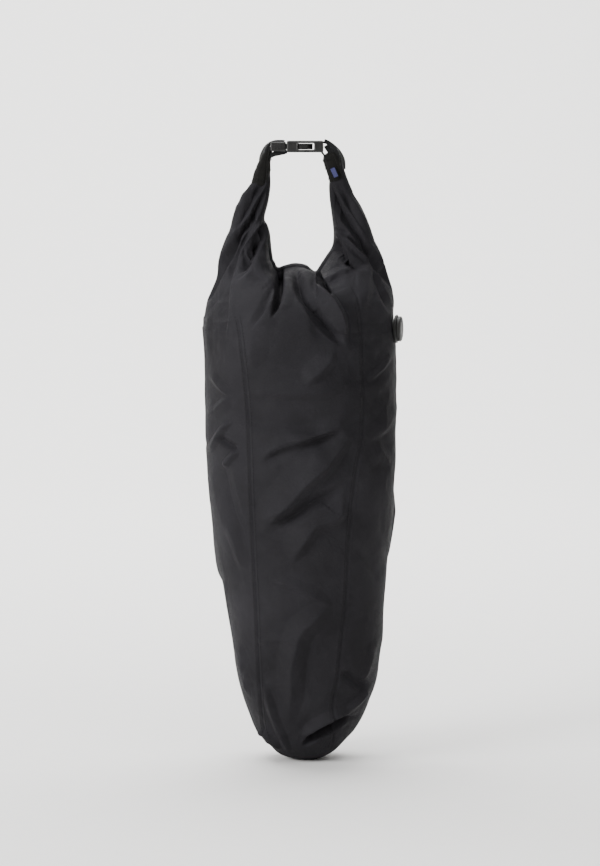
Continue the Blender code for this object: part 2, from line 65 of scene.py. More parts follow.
# Height, left edge, right edge and half depth of the filled sack below its shoulders.
SECTIONS = np.array(
    [
        (0.0, -9, 15, 10), (1.6, -14, 20, 15), (4.6, -22, 26, 22), (8.5, -28, 32, 28),
        (12.6, -33, 36.5, 33), (18, -39, 41.5, 38), (30, -46.5, 52, 45), (42, -51.3, 59, 51),
        (54, -56, 64.5, 56), (78, -63.5, 73.5, 62), (102, -67.5, 77.5, 66), (126, -71, 80, 69),
        (150, -75.5, 81, 72), (198, -84.5, 85, 77), (246, -91, 89.3, 81), (294, -95, 92, 84),
        (350, -96.5, 93.3, 86), (402, -98, 93.3, 86), (430, -99.6, 92.2, 83),
    ],
    float,
)
SHOULDER_Z = SECTIONS[-1, 0]

# The edge of the carry loop that the fabric climbs to, from the left tip to the right tip.
LOOP_EDGE = np.array(
    [
        (-39, 604), (-33, 590), (-31.5, 575), (-33.5, 558), (-37.5, 541), (-34.5, 534), (-32, 525),
        (-30.5, 510), (-28.5, 498), (-25.5, 492.5), (-18, 494.5), (-8, 496.5), (3, 495), (9, 490.5),
        (13, 488.5), (17, 494), (23.5, 504), (29.5, 514), (30.5, 528), (28.5, 546), (26.5, 562),
        (26.5, 578), (31, 594), (37, 606),
    ],
    float,
)
# The arms' outer outline, from the shoulders up, which the fabric is drawn in to.
OUTLINES = {
    "left": [
        (430, -99.2), (440, -98.7), (460, -95), (482, -88), (506, -82), (530, -74), (542, -70),
        (554, -66), (566, -59.4), (576, -50.6), (582, -47), (590, -43.6), (598, -39.4),
        (606, -35.5),
    ],
    "right": [
        (430, 92), (440, 90.5), (460, 90), (470, 88.5), (482, 85), (494, 82), (506, 76.5),
        (518, 71.5), (530, 67.5), (542, 63), (554, 57.5), (566, 50.5), (576, 46), (582, 43.6),
        (590, 40.8), (598, 38.4), (606, 35.5),
    ],
}
# The middle of the loop's opening, the skin's columns and rows, and its rounded edge.
LOOP_X = -5.5
AROUND = 522
FOOT_ROWS = 20
LOWER_ROWS = 300
UPPER_ROWS = 150
EDGE_ROWS = 8
EDGE_ROUND = 3.0
EDGE_HALF = 8.0
# The body's cross-section is a superellipse: 1 would be a true ellipse.
SECTION_POWER = 0.93
# The width of the cloth that goes once round the sack, for its weave.
CLOTH_AROUND = 560
# Half depths of the flattened arms at some heights, and where the flattening sets in and ends.
ARM_HEIGHTS = (480, 500, 520, 540, 560, 580, 600)
ARM_DEPTHS = (44, 34, 26, 20, 14.5, 10, 7)
FLAT_FROM = (498, 530)
FLAT_TO = (590, 604)


def catmull(points, count):
    """A smooth curve through the points, with count samples evenly spread by length."""
    points = np.asarray(points, float)
    padded = np.vstack([2 * points[0] - points[1], points, 2 * points[-1] - points[-2]])
    t = np.linspace(0, 1, 16, endpoint=False)[:, None]
    spans = []
    for a, b, c, d in zip(padded, padded[1:], padded[2:], padded[3:]):
        cubic = (3 * b - a - 3 * c + d) * t**3
        spans.append(0.5 * (2 * b + (c - a) * t + (2 * a - 5 * b + 4 * c - d) * t**2 + cubic))
    curve = np.vstack(spans + [points[-1:]])
    steps = np.linalg.norm(np.diff(curve, axis=0), axis=1)
    length = np.concatenate([[0], np.cumsum(steps)])
    even = np.linspace(0, length[-1], count)
    return np.stack([np.interp(even, length, column) for column in curve.T], axis=1)


def smooth_rows(table, heights):
    """Smooth values of a table's columns at the given heights."""
    z = table[:, 0]
    slopes = np.gradient(table[:, 1:], z, axis=0)
    index = np.clip(np.searchsorted(z, heights, side="right") - 1, 0, len(z) - 2)
    span = (z[index + 1] - z[index])[:, None]
    t = (heights - z[index])[:, None] / span
    a, b = table[index, 1:], table[index + 1, 1:]
    rise = slopes[index] * span * (t**3 - 2 * t**2 + t) + slopes[index + 1] * span * (t**3 - t**2)
    return a * (2 * t**3 - 3 * t**2 + 1) + b * (3 * t**2 - 2 * t**3) + rise


def ease(value, low, high):
    """0 below low, 1 above high and a smooth step between."""
    t = np.clip((value - low) / (high - low), 0, 1)
    return t * t * (3 - 2 * t)


# ---------------------------------------------------------------- the smooth skin


def lower_rows():
    """Rings of the filled sack from the floor to the shoulders: rows x columns x 3."""
    foot = SECTIONS[5, 0]
    heights = np.concatenate(
        [
            foot * (np.arange(FOOT_ROWS) / FOOT_ROWS) ** 1.5,
            np.linspace(foot, SHOULDER_Z, LOWER_ROWS - FOOT_ROWS),
        ]
    )
    left, right, depth = smooth_rows(SECTIONS, heights).T
    angle = np.pi + 2 * np.pi * np.arange(AROUND) / AROUND
    c, s = np.cos(angle), np.sin(angle)
    c = np.sign(c) * np.abs(c) ** SECTION_POWER
    s = np.sign(s) * np.abs(s) ** SECTION_POWER
    x = ((left + right) / 2)[:, None] + ((right - left) / 2)[:, None] * c
    y = depth[:, None] * s
    z = np.repeat(heights[:, None], AROUND, axis=1)
    return np.stack([x, y, z], axis=2)


def edge_frame(count=500):
    """The loop's edge from tip to tip, and its unit direction into the opening."""
    edge = catmull(LOOP_EDGE, count)
    along = np.gradient(edge, axis=0)
    along /= np.linalg.norm(along, axis=1, keepdims=True)
    inward = np.stack([-along[:, 1], along[:, 0]], axis=1)
    for _ in range(12):
        inward[1:-1] = (inward[:-2] + inward[1:-1] + inward[2:]) / 3
    return edge, inward / np.linalg.norm(inward, axis=1, keepdims=True)


def upper_rows(ring):
    """Bends the columns from the shoulder ring up to the loop's edge, and over it."""
    half = AROUND // 2
    share = np.arange(half + 1) / half
    eased = share - 0.03 * np.sin(2 * np.pi * share)
    edge, inward = edge_frame()
    pick = [np.interp(eased, np.linspace(0, 1, len(edge)), c) for c in (*edge.T, *inward.T)]
    rim = np.stack(pick[:2], axis=1)
    inward = np.stack(pick[2:], axis=1)
    target = rim - EDGE_ROUND * inward
    front = ring[: half + 1]
    side = np.where(share < 0.5, -1.0, 1.0)
    outer = np.abs(share - 0.5) * 2
    arm = ease(target[:, 1], 490, 550)
    start = np.stack([front[:, 0], np.full(half + 1, SHOULDER_Z)], axis=1)
    first = start + np.stack([0.6 * (1 - outer) * side, 34 + 6 * outer], axis=1)
    reach = np.where(side < 0, 33, 26)
    lean = side * (6 + reach * outer**2) * arm
    second = target + np.stack([lean, -(22 + 40 * arm)], axis=1)
    t = np.linspace(0, 1, UPPER_ROWS + 1)[1:, None, None]
    path = start * (1 - t) ** 3 + 3 * first * t * (1 - t) ** 2
    path = path + 3 * second * t**2 * (1 - t) + target * t**3
    fall = (1 - t[:, :, 0] ** 1.7) ** 0.62
    thick = EDGE_HALF * np.sqrt(1 - (1 - np.clip(np.minimum(eased, 1 - eased) / 0.05, 0, 1)) ** 2)
    sheets = []
    for sign in (-1, 1):
        depth = np.hypot(np.abs(front[:, 1]) * fall, thick * t[:, :, 0] ** 0.7)
        turn = np.linspace(0, np.pi / 2, EDGE_ROWS + 1)[1:, None]
        over = target[None] + EDGE_ROUND * np.sin(turn)[..., None] * inward[None]
        x = np.concatenate([path[:, :, 0], over[:, :, 0]])
        z = np.concatenate([path[:, :, 1], over[:, :, 1]])
        y = np.concatenate([depth, depth[-1:] * np.cos(turn)])
        sheets.append(np.stack([x, sign * y, z], axis=2))
    return np.concatenate([sheets[0], sheets[1][:, 1:half][:, ::-1]], axis=1)


def draw_in(grid):
    """Scales the arms between the loop's inner edge and their outer outline."""
    edge, _ = edge_frame()
    middle = int(np.argmin(np.abs(edge[:, 0] - LOOP_X)))
    half = AROUND // 2
    for side, column, part in (("left", 0, edge[:middle][::-1]), ("right", half, edge[middle:])):
        heights = np.maximum.accumulate(part[:, 1])
        current = grid[:, column]
        order = np.argsort(current[:, 2], kind="stable")
        table = np.array(OUTLINES[side], float)
        on_side = (grid[..., 0] < LOOP_X) if side == "left" else (grid[..., 0] > LOOP_X)
        high = on_side & (grid[..., 2] > SHOULDER_Z)
        x, z = grid[..., 0][high], grid[..., 2][high]
        inner = np.interp(z, heights, part[:, 0], left=LOOP_X)
        inner = np.where(z < 500, LOOP_X + (inner - LOOP_X) * ease(z, 496, 500), inner)
        outer = np.interp(z, current[order, 2], current[order, 0])
        wanted = np.interp(z, table[:, 0], table[:, 1])
        sign = -1 if side == "left" else 1
        share = (x - inner) / (sign * np.maximum(sign * (outer - inner), 2))
        moved = x + np.clip(share, 0, 1) * (wanted - outer)
        moved = np.maximum(moved, wanted) if side == "left" else np.minimum(moved, wanted)
        grid[..., 0][high] = moved
        # the arms are pressed flat, as the rolled mouth makes them
        across = np.clip((moved - inner) / (sign * np.maximum(sign * (wanted - inner), 2)), 0, 1)
        flat = np.interp(z, ARM_HEIGHTS, ARM_DEPTHS) * (1 - np.abs(2 * across - 1) ** 3.2) ** 0.45
        share = ease(z, *FLAT_FROM) * (1 - ease(z, *FLAT_TO))
        y = grid[..., 1][high]
        grid[..., 1][high] = y * (1 - share) + np.sign(y) * flat * share
    return grid


def smooth_skin():
    """The filled sack and its arms, before any fold."""
    low = lower_rows()
    return draw_in(np.concatenate([low, upper_rows(low[-1])], axis=0))


def normals_of(grid):
    """Outward unit normals of a grid that is closed round its columns."""
    around = np.roll(grid, -1, axis=1) - np.roll(grid, 1, axis=1)
    normal = np.cross(around, np.gradient(grid, axis=0))
    length = np.linalg.norm(normal, axis=2, keepdims=True)
    normal = normal / np.maximum(length, 1e-9)
    # the last row lies on the plane y = 0, where the front and the back sheet meet
    normal[-1] = normal[-2]
    normal[-1, :, 1] = 0
    normal[-1] /= np.maximum(np.linalg.norm(normal[-1], axis=1, keepdims=True), 1e-9)
    return normal


# ---------------------------------------------------------------- folds

# Every fold: its line as (across, height) points seen from one side, how far it stands
# out, and how wide it falls away to the left and to the right of the line's direction.
FRONT_FOLDS = [
    # left arm, from the tip down to the shoulder
    ([(-34, 578), (-40, 560), (-48, 542), (-60.8, 526),
      (-74.5, 500), (-82.6, 485), (-90, 468), (-99, 447)], -8.5, 3.2, 6),
    ([(-33, 580), (-43.5, 556), (-54, 540), (-63, 527), (-68, 520)], 2.4, 2.5, 4),
    ([(-36, 578), (-47, 564), (-55, 549), (-64, 535), (-69, 527)], -5, 3.5, 8),
    ([(-50, 533), (-57, 519), (-63, 508), (-68, 496), (-71, 488), (-73, 477)], -3.4, 2.5, 3.2),
    ([(-38, 538), (-51.6, 521.6), (-59.6, 508), (-64, 493)], 2.2, 2.5, 3.5),
    ([(-35, 541), (-40, 526), (-46, 514.7), (-51.6, 504.4), (-57, 495), (-63, 487)], -12, 4.8, 4.4),
    ([(-42, 510), (-46, 500), (-50.4, 489.4), (-59.6, 481.4), (-67.7, 481.4)], 2.2, 9, 2.5),
    ([(-64, 496), (-69, 489), (-72, 480), (-74, 466), (-74.5, 446), (-76, 425)], -2.6, 2, 7),
    ([(-93, 466), (-93.5, 450), (-94, 430), (-92, 405)], 1.8, 5, 4),
    # the black crease under the left corner, its two lips and the facet beside it
    ([(-21, 505), (-22, 488), (-22.5, 474), (-24.5, 462), (-30, 446)], -13, 2.6, 2.6),
    ([(-30, 490), (-29, 474), (-30.5, 462), (-35, 449)], 1.8, 3, 8),
    ([(-18, 489), (-15.5, 476), (-17, 464), (-23, 450)], 1.8, 8, 3),
    ([(-28.5, 476), (-37, 456), (-51, 434)], -2.6, 2.5, 5.5),
    ([(-29, 449), (-47, 434.6), (-49, 414), (-50, 392)], 2, 16, 14),
    # the long ridge that runs from the lip towards the right seam
    ([(-8, 492), (0.8, 472.4), (9, 460), (18, 447), (28.7, 434.6), (42, 419)], -8, 3, 8),
    ([(-4, 492), (9, 479), (17, 470), (26, 463.4),
      (33.2, 453), (38.6, 440), (43, 419)], 9, 6.5, 11.5),
    ([(-19, 485), (-8, 488), (3, 487), (9, 481)], 1, 3, 7),
    # the pocket under the notch and the hem's facet above it
    ([(13, 489), (19, 480), (24, 473), (29, 463)], -6.5, 2.3, 2.3),
    ([(15, 476), (28, 483.7), (38.5, 489.4), (52, 494)], 2.8, 6, 2),
    ([(29, 520), (37, 508), (44, 501), (52, 496.3), (63, 492.5)], -9, 6, 4.8),
    ([(41, 523), (52.3, 511.2), (60.3, 503.2), (67, 494)], 3.6, 3, 2.8),
    ([(44, 524), (54.6, 512.6), (65, 502.6)], -2.6, 3, 1.8),
    ([(65, 498), (63, 480), (60.5, 467), (60, 450)], 2.8, 8, 11),
    # right arm
    ([(24, 580), (29.3, 563), (38.5, 547), (54.6, 525),
      (68, 502), (81, 485), (94, 464)], -6.5, 6.5, 4.5),
    ([(30.5, 576), (38.5, 558.3), (49, 543.4), (60.3, 526.2), (72, 508), (84, 489)], 3, 6, 5),
    ([(39, 568), (47.7, 549), (53.4, 540), (60.3, 531), (68, 518), (78, 501)], -4.4, 5, 6.5),
    ([(46, 563), (58, 543), (70, 522), (81, 501)], 1.8, 4, 5),
    ([(67, 494), (75.2, 474.5), (81, 462), (88, 446)], -2.8, 4, 4),
    ([(27, 534), (36, 529), (46, 526)], -1.6, 2.5, 2.5),
    ([(27, 527), (37, 523), (47, 518)], 1.4, 3, 3),
    # body
    ([(-58, 377), (-40, 375.5), (0, 374.5), (30, 378), (44, 389)], 2.3, 26, 8),
    ([(-60, 345), (-30, 343.5), (10, 343), (36, 346)], -1.5, 22, 8),
    ([(-38, 315), (-2.5, 327), (27.5, 339), (46, 349)], 2, 14, 6),
    ([(-40, 304), (-17.5, 319), (10.5, 326), (41, 338)], -2.2, 6, 10),
    ([(-40, 237), (-13, 267), (5.5, 288), (26.5, 309), (50, 340)], 3.8, 25, 10),
    ([(-38, 243), (-8.5, 254), (10.5, 267), (26.5, 275), (44, 290)], -2.8, 9, 8),
    ([(-12, 208), (5.5, 235), (14.5, 246), (35.5, 254), (39, 280)], 2.6, 20, 7),
    ([(-44, 236), (-20, 231), (4, 233)], -0.8, 10, 10),
    ([(2, 384), (23, 401), (32, 420)], 2, 14, 6),
    ([(-92, 390), (-80, 378), (-69, 371)], 1.6, 6, 4),
    ([(-93, 346), (-82, 357), (-68, 371)], 2, 5, 7),
    ([(-93, 310), (-80, 333), (-68, 347)], 2.4, 4, 3),
    ([(-97, 315), (-92, 345), (-88, 368)], 1.4, 5, 5),
    ([(-84, 329), (-72, 322), (-61, 318)], -2, 4.5, 4),
    ([(-78, 299), (-70, 309), (-61, 318)], 1.8, 3.5, 3.5),
    ([(-78, 306), (-76, 282), (-70, 260), (-63, 238), (-54, 212)], -2, 10, 13),
    ([(94, 362), (85, 342), (68, 327)], 1.6, 5, 12),
    ([(68, 327), (83, 300), (84, 258)], 1.6, 6, 12),
    ([(62, 385), (76, 396), (90, 410)], 1.6, 4, 4),
    ([(88, 384), (90, 330), (87, 270), (84, 210)], 1.2, 4, 9),
    ([(-76, 246), (-66, 226), (-58, 196)], 1.4, 9, 6),
    # foot
    ([(29, 169), (9.5, 150), (-0.5, 140), (-6.5, 122),
      (-9.5, 98), (-10.5, 70), (-16, 40)], 2.8, 12, 16),
    ([(-32, 191), (-2.5, 182), (29, 164)], 1.3, 9, 3.5),
    ([(-48, 126), (-20, 131), (8, 127)], 0.8, 5, 4),
    ([(38, 100), (54, 86), (68, 74)], -2.2, 5, 7),
    ([(43, 57), (56, 66), (70, 82)], 1.8, 5, 5),
    ([(0, 20), (14, 31), (28, 39), (40, 46), (54, 48)], -6, 5, 4.5),
    ([(0, 30), (16, 42), (34, 52), (54, 56)], 2.2, 9, 3),
    ([(-47, 31), (-35, 29), (-22, 12)], 2.2, 4, 3.5),
    ([(-46, 24), (-34, 22), (-24, 9)], -3, 3.5, 6),
    ([(-39, 86), (-28.5, 52), (-18, 24), (-12, 8)], 1.8, 5, 5),
    ([(-68, 122), (-60, 100), (-54, 84)], 1.6, 8, 4),
    ([(-66, 108), (-58, 84), (-50, 64)], 1.4, 7, 5),
    ([(74, 128), (66, 100), (58, 84)], 1.4, 6, 6),
]

BACK_FOLDS = [
    ([(-34, 552), (-44, 536), (-58, 517), (-70, 496), (-82, 470), (-92, 446)], -5, 8, 5),
    ([(-37, 560), (-50, 541), (-64, 520), (-78, 492)], 2.8, 4, 11),
    ([(-38, 530), (-50, 506), (-60, 480), (-66, 452)], -3.6, 9, 9),
    ([(-30, 470), (-38, 448), (-50, 424)], -4.4, 7, 7),
    ([(-10, 466), (-13, 444), (-22, 420)], 3, 13, 7),
    ([(6, 468), (8, 446), (16, 420)], -3.4, 7, 9),
    ([(22, 468), (30, 446), (42, 420)], 3, 11, 9),
    ([(30, 552), (42, 534), (56, 512), (70, 486), (84, 458)], -5, 5, 8),
    ([(33, 560), (46, 540), (62, 516), (77, 490)], 2.8, 11, 4),
    ([(36, 530), (46, 506), (58, 478), (64, 448)], -3.6, 9, 9),
    ([(-60, 396), (-30, 408), (4, 400), (34, 408)], 1.8, 26, 13),
    ([(-50, 300), (-20, 330), (10, 352), (40, 364)], 2.8, 13, 31),
    ([(-46, 292), (-14, 312), (20, 330)], -2, 18, 13),
    ([(44, 282), (16, 262), (-12, 236), (-34, 222)], 2.4, 11, 29),
    ([(-30, 180), (0, 160), (12, 130), (14, 96)], 2.2, 26, 11),
    ([(46, 60), (20, 44), (-6, 34)], -2.6, 7, 7),
    ([(-70, 350), (-84, 330), (-92, 300)], 1.6, 9, 4),
    ([(66, 380), (78, 350), (84, 310)], 1.6, 4, 9),
]

# Seen from the left and from the right, as (y, height) points.
LEFT_FOLDS = [
    ([(-34, 470), (-16, 440), (-6, 400)], -3, 9, 9),
    ([(28, 476), (14, 446), (4, 404)], -3, 9, 9),
    ([(0, 520), (-3, 480), (2, 440), (0, 400)], 2.2, 11, 11),
    ([(-50, 350), (-10, 370), (30, 360)], 2, 11, 22),
    ([(-40, 260), (0, 290), (44, 300)], 2.2, 26, 11),
    ([(40, 220), (4, 200), (-36, 190)], 1.8, 11, 22),
    ([(-30, 110), (0, 130), (30, 136)], 1.6, 18, 9),
]
RIGHT_FOLDS = [
    ([(-32, 470), (-14, 452), (10, 446)], -2, 7, 7),
    ([(30, 474), (16, 440), (14, 396)], -3, 9, 9),
    ([(-2, 520), (2, 484), (4, 456)], 2.2, 11, 11),
    ([(-24, 414), (-30, 380), (-44, 352)], 1.8, 9, 9),
    ([(-10, 416), (6, 384), (30, 362)], 1.8, 9, 9),
    ([(-50, 320), (-6, 300), (40, 306)], 2, 13, 22),
    ([(-42, 230), (0, 250), (44, 244)], 2, 22, 11),
    ([(-30, 140), (0, 122), (34, 118)], 1.6, 11, 18),
]

# Stitched seams between the panels, from the foot up.
FRONT_SEAMS = {
    "front_left": [
        (-30, 12), (-38, 36), (-41, 70), (-43, 110), (-45, 168), (-49, 260), (-52.5, 358),
        (-59.5, 428), (-64, 452),
    ],
    "front_right": [
        (28, 12), (31, 32), (30, 66), (34.5, 90), (38.5, 127), (42.5, 167), (45.5, 233),
        (51.5, 292), (58.5, 337), (58, 425), (53.5, 463), (44, 482),
    ],
}
BACK_SEAMS = {
    "back_left": [
        (-30, 12), (-38, 36), (-42, 90), (-46, 168), (-50, 260), (-54, 358), (-58, 428), (-56, 452),
    ],
    "back_right": [
        (28, 12), (36, 36), (40, 90), (44, 168), (49, 260), (54, 358), (57, 425), (54, 452),
    ],
}


def distance_to(line, across, height):
    """Signed distance to a line (positive on its left) and the share of its length."""
    best = np.full(across.shape, 1e9)
    sign = np.ones(across.shape)
    share = np.zeros(across.shape)
    count = len(line) - 1
    for i in range(count):
        ax, az = line[i]
        dx, dz = line[i + 1] - line[i]
        px, pz = across - ax, height - az
        t = np.clip((px * dx + pz * dz) / (dx * dx + dz * dz), 0, 1)
        gap = np.hypot(px - t * dx, pz - t * dz)
        nearer = gap < best
        best = np.where(nearer, gap, best)
        sign = np.where(nearer, np.sign(dx * pz - dz * px), sign)
        share = np.where(nearer, (i + t) / count, share)
    return best * sign, share


def add_folds(push, folds, across, height, mask, rounding=0.9):
    """Adds each fold to push, where mask lets it show: two flat flanks that meet in a crease."""
    for points, out, left, right in folds:
        line = catmull(points, 20)
        margin = max(left, right) + 2
        low, high = line.min(0) - margin, line.max(0) + margin
        near = (across > low[0]) & (across < high[0]) & (mask > 0)
        near &= (height > low[1]) & (height < high[1])
        if not near.any():
            continue
        gap, share = distance_to(line, across[near], height[near])
        taper = ease(share, -0.02, 0.22) * (1 - ease(share, 0.66, 1.02))
        reach = np.where(gap > 0, left, right) * (0.55 + 0.45 * taper)
        away = (np.sqrt(gap**2 + rounding**2) - rounding) / reach
        push[near] += out * np.clip(1 - away, 0, 1) ** 1.15 * taper * mask[near]


def facets(s, z, width, height, lean, tilt, sharp, seed):
    """Broad flat facets with soft creases, as fabric that sags over a loose filling."""
    around = s.max() + s[0, 1]
    columns = max(3, round(around / width))
    rows = int(660 / height) + 2
    cells = []
    for i in range(-2, columns + 2):
        for j in range(rows):
            local = np.random.default_rng(seed * 7919 + (i % columns) * 131 + j)
            jitter = local.uniform(-0.42, 0.42, 2)
            slope = local.normal(0, tilt, 2)
            cells.append(((i + 0.5 + jitter[0]) * around / columns, (j + jitter[1]) * height, *slope))
    cells = np.array(cells)
    total = np.zeros(s.shape)
    weight = np.zeros(s.shape)
    nearest = np.full(s.shape, 1e9)
    for cs, cz, _, _ in cells:
        nearest = np.minimum(nearest, cell_distance(s - cs, z - cz, width, height, lean))
    for cs, cz, gs, gz in cells:
        ds, dz = s - cs, z - cz
        far = cell_distance(ds, dz, width, height, lean) - nearest
        w = np.exp(-sharp * np.minimum(far, 50 / sharp))
        total += w * (gs * ds + gz * dz)
        weight += w
    return total / weight


def cell_distance(ds, dz, width, height, lean):
    """Squared distance in cells, which lean to one side."""
    a = (ds + lean * dz) / width
    b = (dz - lean * ds) / height
    return a * a + b * b


def seam_profile(push, seams, across, height, mask):
    """Presses each seam in, with a raised lap beside it and small puckers across it."""
    for number, points in enumerate(seams.values()):
        line = catmull(points, 60)
        length = np.linalg.norm(np.diff(line, axis=0), axis=1).sum()
        near = (np.abs(across - np.interp(height, line[:, 1], line[:, 0])) < 30) & (mask > 0)
        near &= (height > line[0, 1] - 3) & (height < line[-1, 1] + 3)
        gap, share = distance_to(line, across[near], height[near])
        along = share * length
        groove = -0.9 * np.exp(-((gap / 0.8) ** 2))
        lap = 0.35 * np.exp(-(((gap - 3.0) / 1.9) ** 2)) + 0.2 * np.exp(-(((gap + 2.6) / 1.6) ** 2))
        swell = 0.6 + 0.4 * np.sin(along / 29 + 2 * number)
        wave = np.sin(along / 1.7 + 2.2 * np.sin(along / 13 + number)) * swell
        pucker = 0.3 * wave * np.exp(-np.abs(gap) / 5.0)
        ends = ease(share, 0, 0.03) * (1 - ease(share, 0.95, 1))
        push[near] += (groove + lap + pucker) * ends * mask[near]


# ---------------------------------------------------------------- cloth simulation

SIM_STEP = 3
SIM_FRAMES = 14
# How much too large the cloth is, the heights where its foot is let go, and the farthest move.
SIM_GROW = 0.018
SIM_FOOT = (5, 32)
SIM_CAP = 7.0


def thinned(grid):
    """Every third row and column, with the last row kept."""
    rows = np.unique(np.r_[0 : len(grid) : SIM_STEP, len(grid) - 1])
    return rows, grid[rows][:, ::SIM_STEP]


def filled_in(values, rows, count):
    """Spreads values from thinned rows and columns back over the full grid, smoothly."""
    place = np.arange(AROUND)
    left = place // SIM_STEP
    share = ((place % SIM_STEP) / SIM_STEP).reshape((1, -1) + (1,) * (values.ndim - 2))
    wide = values[:, left] * (1 - share) + np.roll(values, -1, axis=1)[:, left] * share
    low = np.clip(np.searchsorted(rows, np.arange(count), side="right") - 1, 0, len(rows) - 2)
    share = (np.arange(count) - rows[low]) / (rows[low + 1] - rows[low])
    share = share.reshape((-1,) + (1,) * (values.ndim - 1))
    tall = wide[low] * (1 - share) + wide[low + 1] * share
    for _ in range(2):
        tall = (np.roll(tall, 1, axis=1) + 2 * tall + np.roll(tall, -1, axis=1)) / 4
        tall[1:-1] = (tall[:-2] + 2 * tall[1:-1] + tall[2:]) / 4
    return tall


def relaxed(grid):
    """How far each point moves when slightly too much cloth buckles under light pressure."""
    rows, coarse = thinned(grid)
    count, across = coarse.shape[:2]
    index = np.arange(count * across).reshape(count, across)
    right = np.roll(index, -1, axis=1)
    quads = np.stack([index[:-1], right[:-1], right[1:], index[1:]], axis=2).reshape(-1, 4)
    mesh = bpy.data.meshes.new("relaxing_cloth")
    mesh.from_pydata((coarse.reshape(-1, 3) * MM).tolist(), [], quads.tolist())
    obj = bpy.data.objects.new("relaxing_cloth", mesh)
    bpy.context.scene.collection.objects.link(obj)
    held = 1 - ease(coarse[..., 2], *SIM_FOOT)
    near_rim = ease(np.arange(count), count - 12, count - 5)[:, None]
    near_valve = 1 - ease(np.linalg.norm(coarse - frame_centre("valve_gasket"), axis=2), 16, 30)
    held = np.round(np.maximum(np.maximum(held, near_rim), near_valve), 2).ravel()
    group = obj.vertex_groups.new(name="held")
    for weight in np.unique(held[held > 0]):
        group.add(np.nonzero(held == weight)[0].tolist(), float(weight), "REPLACE")
    cloth = obj.modifiers.new("Cloth", "CLOTH")
    settings = cloth.settings
    settings.quality = 5
    settings.mass = 0.1
    settings.tension_stiffness = 15
    settings.compression_stiffness = 15
    settings.shear_stiffness = 7.5
    settings.bending_stiffness = 0.6
    settings.air_damping = 2
    settings.use_pressure = True
    settings.uniform_pressure_force = 1.5
    settings.shrink_min = -SIM_GROW
    settings.vertex_group_mass = "held"
    settings.effector_weights.gravity = 0
    cloth.collision_settings.use_collision = False
    cloth.point_cache.frame_start = 1
    cloth.point_cache.frame_end = SIM_FRAMES
    for frame_number in range(1, SIM_FRAMES + 1):
        bpy.context.scene.frame_set(frame_number)
    evaluated = obj.evaluated_get(bpy.context.evaluated_depsgraph_get())
    moved = np.zeros(len(mesh.vertices) * 3, np.float32)
    evaluated.data.vertices.foreach_get("co", moved)
    bpy.data.objects.remove(obj)
    bpy.context.scene.frame_set(1)
    move = moved.reshape(coarse.shape).astype(float) / MM - coarse
    length = np.linalg.norm(move, axis=2, keepdims=True)
    move *= np.minimum(1, SIM_CAP / np.maximum(length, 1e-6))
    return filled_in(move, rows, len(grid))


# ---------------------------------------------------------------- the finished skin

# Facets of two sizes: strength, then cell width and height, lean, tilt, sharpness and seed.
FACETS = ((0.45, (66, 80, 0.35, 0.085, 9, 5)), (0.5, (30, 38, -0.4, 0.05, 7, 11)))
# The front's folds stand out by the first factor, and below these heights by the second one more.
FRONT_GAIN = 1.15
BODY_GAIN = 1.25
BODY_FROM = (395, 430)
# The front keeps less of the facets and of the simulated move, so that its own folds show.
FRONT_FACETS = 0.35
FRONT_MOVE = 0.55
VALVE_DIP = 0.6


def shaped_skin():
    """The skin with its facets, folds, buckles and seams: grid, normals, cloth coordinates."""
    base = smooth_skin()
    out = normals_of(base)
    z = base[..., 2]
    s = np.repeat(np.linspace(0, CLOTH_AROUND, AROUND, endpoint=False)[None, :], len(base), axis=0)
    climb = np.concatenate([[0], np.cumsum(np.linalg.norm(np.diff(base, axis=0), axis=2).mean(1))])
    v = np.repeat(climb[:, None], AROUND, axis=1)
    calm = ease(z, 6, 60) * (1 - 0.65 * ease(z, 470, 520)) * (1 - 0.9 * ease(z, 560, 590))
    rows, coarse_s = thinned(s)
    coarse_v = thinned(v)[1]
    broad = sum(strength * facets(coarse_s, coarse_v, *shape) for strength, shape in FACETS)
    front = ease(-base[..., 1], -5, 5)
    back = 1 - front
    push = calm * filled_in(broad, rows, len(base)) * (1 - (1 - FRONT_FACETS) * front)
    valve_gap = np.linalg.norm(base - frame_centre("valve_gasket"), axis=2)
    row = np.arange(len(base))[:, None]
    rim = ease(row, 0, 3) * (1 - ease(row, len(base) - EDGE_ROWS - 5, len(base) - 2))
    push *= ease(valve_gap, 14, 30) * rim
    grid = base + out * push[..., None]
    move = relaxed(grid)
    move *= (1 - (1 - FRONT_MOVE) * front)[..., None]
    move[..., 0] *= 1 - 0.75 * ease(np.abs(out[..., 0]), 0.7, 1.0)
    grid = grid + move
    out = normals_of(grid)
    x, y, z = grid[..., 0], grid[..., 1], grid[..., 2]
    push = np.zeros(z.shape)
    gain = FRONT_GAIN + BODY_GAIN * (1 - ease(z, *BODY_FROM))
    add_folds(push, FRONT_FOLDS, x, z, front * gain)
    add_folds(push, BACK_FOLDS, x, z, back)
    add_folds(push, LEFT_FOLDS, y, z, ease(-x, 20, 60) * (1 - 0.6 * front))
    add_folds(push, RIGHT_FOLDS, y, z, ease(x, 20, 60) * (1 - 0.6 * front))
    push *= ease(valve_gap, 14, 26)
    push -= VALVE_DIP * (1 - ease(valve_gap, 12, 20))
    # a fold would widen the outline, so it's pressed flat where the skin turns away
    push *= np.where(push > 0, 1 - 0.7 * ease(np.abs(out[..., 0]), 0.75, 0.98), 1)
    push *= rim
    seam_profile(push, FRONT_SEAMS, x, z, front * rim)
    seam_profile(push, BACK_SEAMS, x, z, back * rim)
    blurred = smooth_directions(out)
    grid = grid + blurred * push[..., None]
    grid[..., 2] = np.maximum(grid[..., 2], 0)
    return grid, normals_of(grid), np.stack([s, v], axis=2)


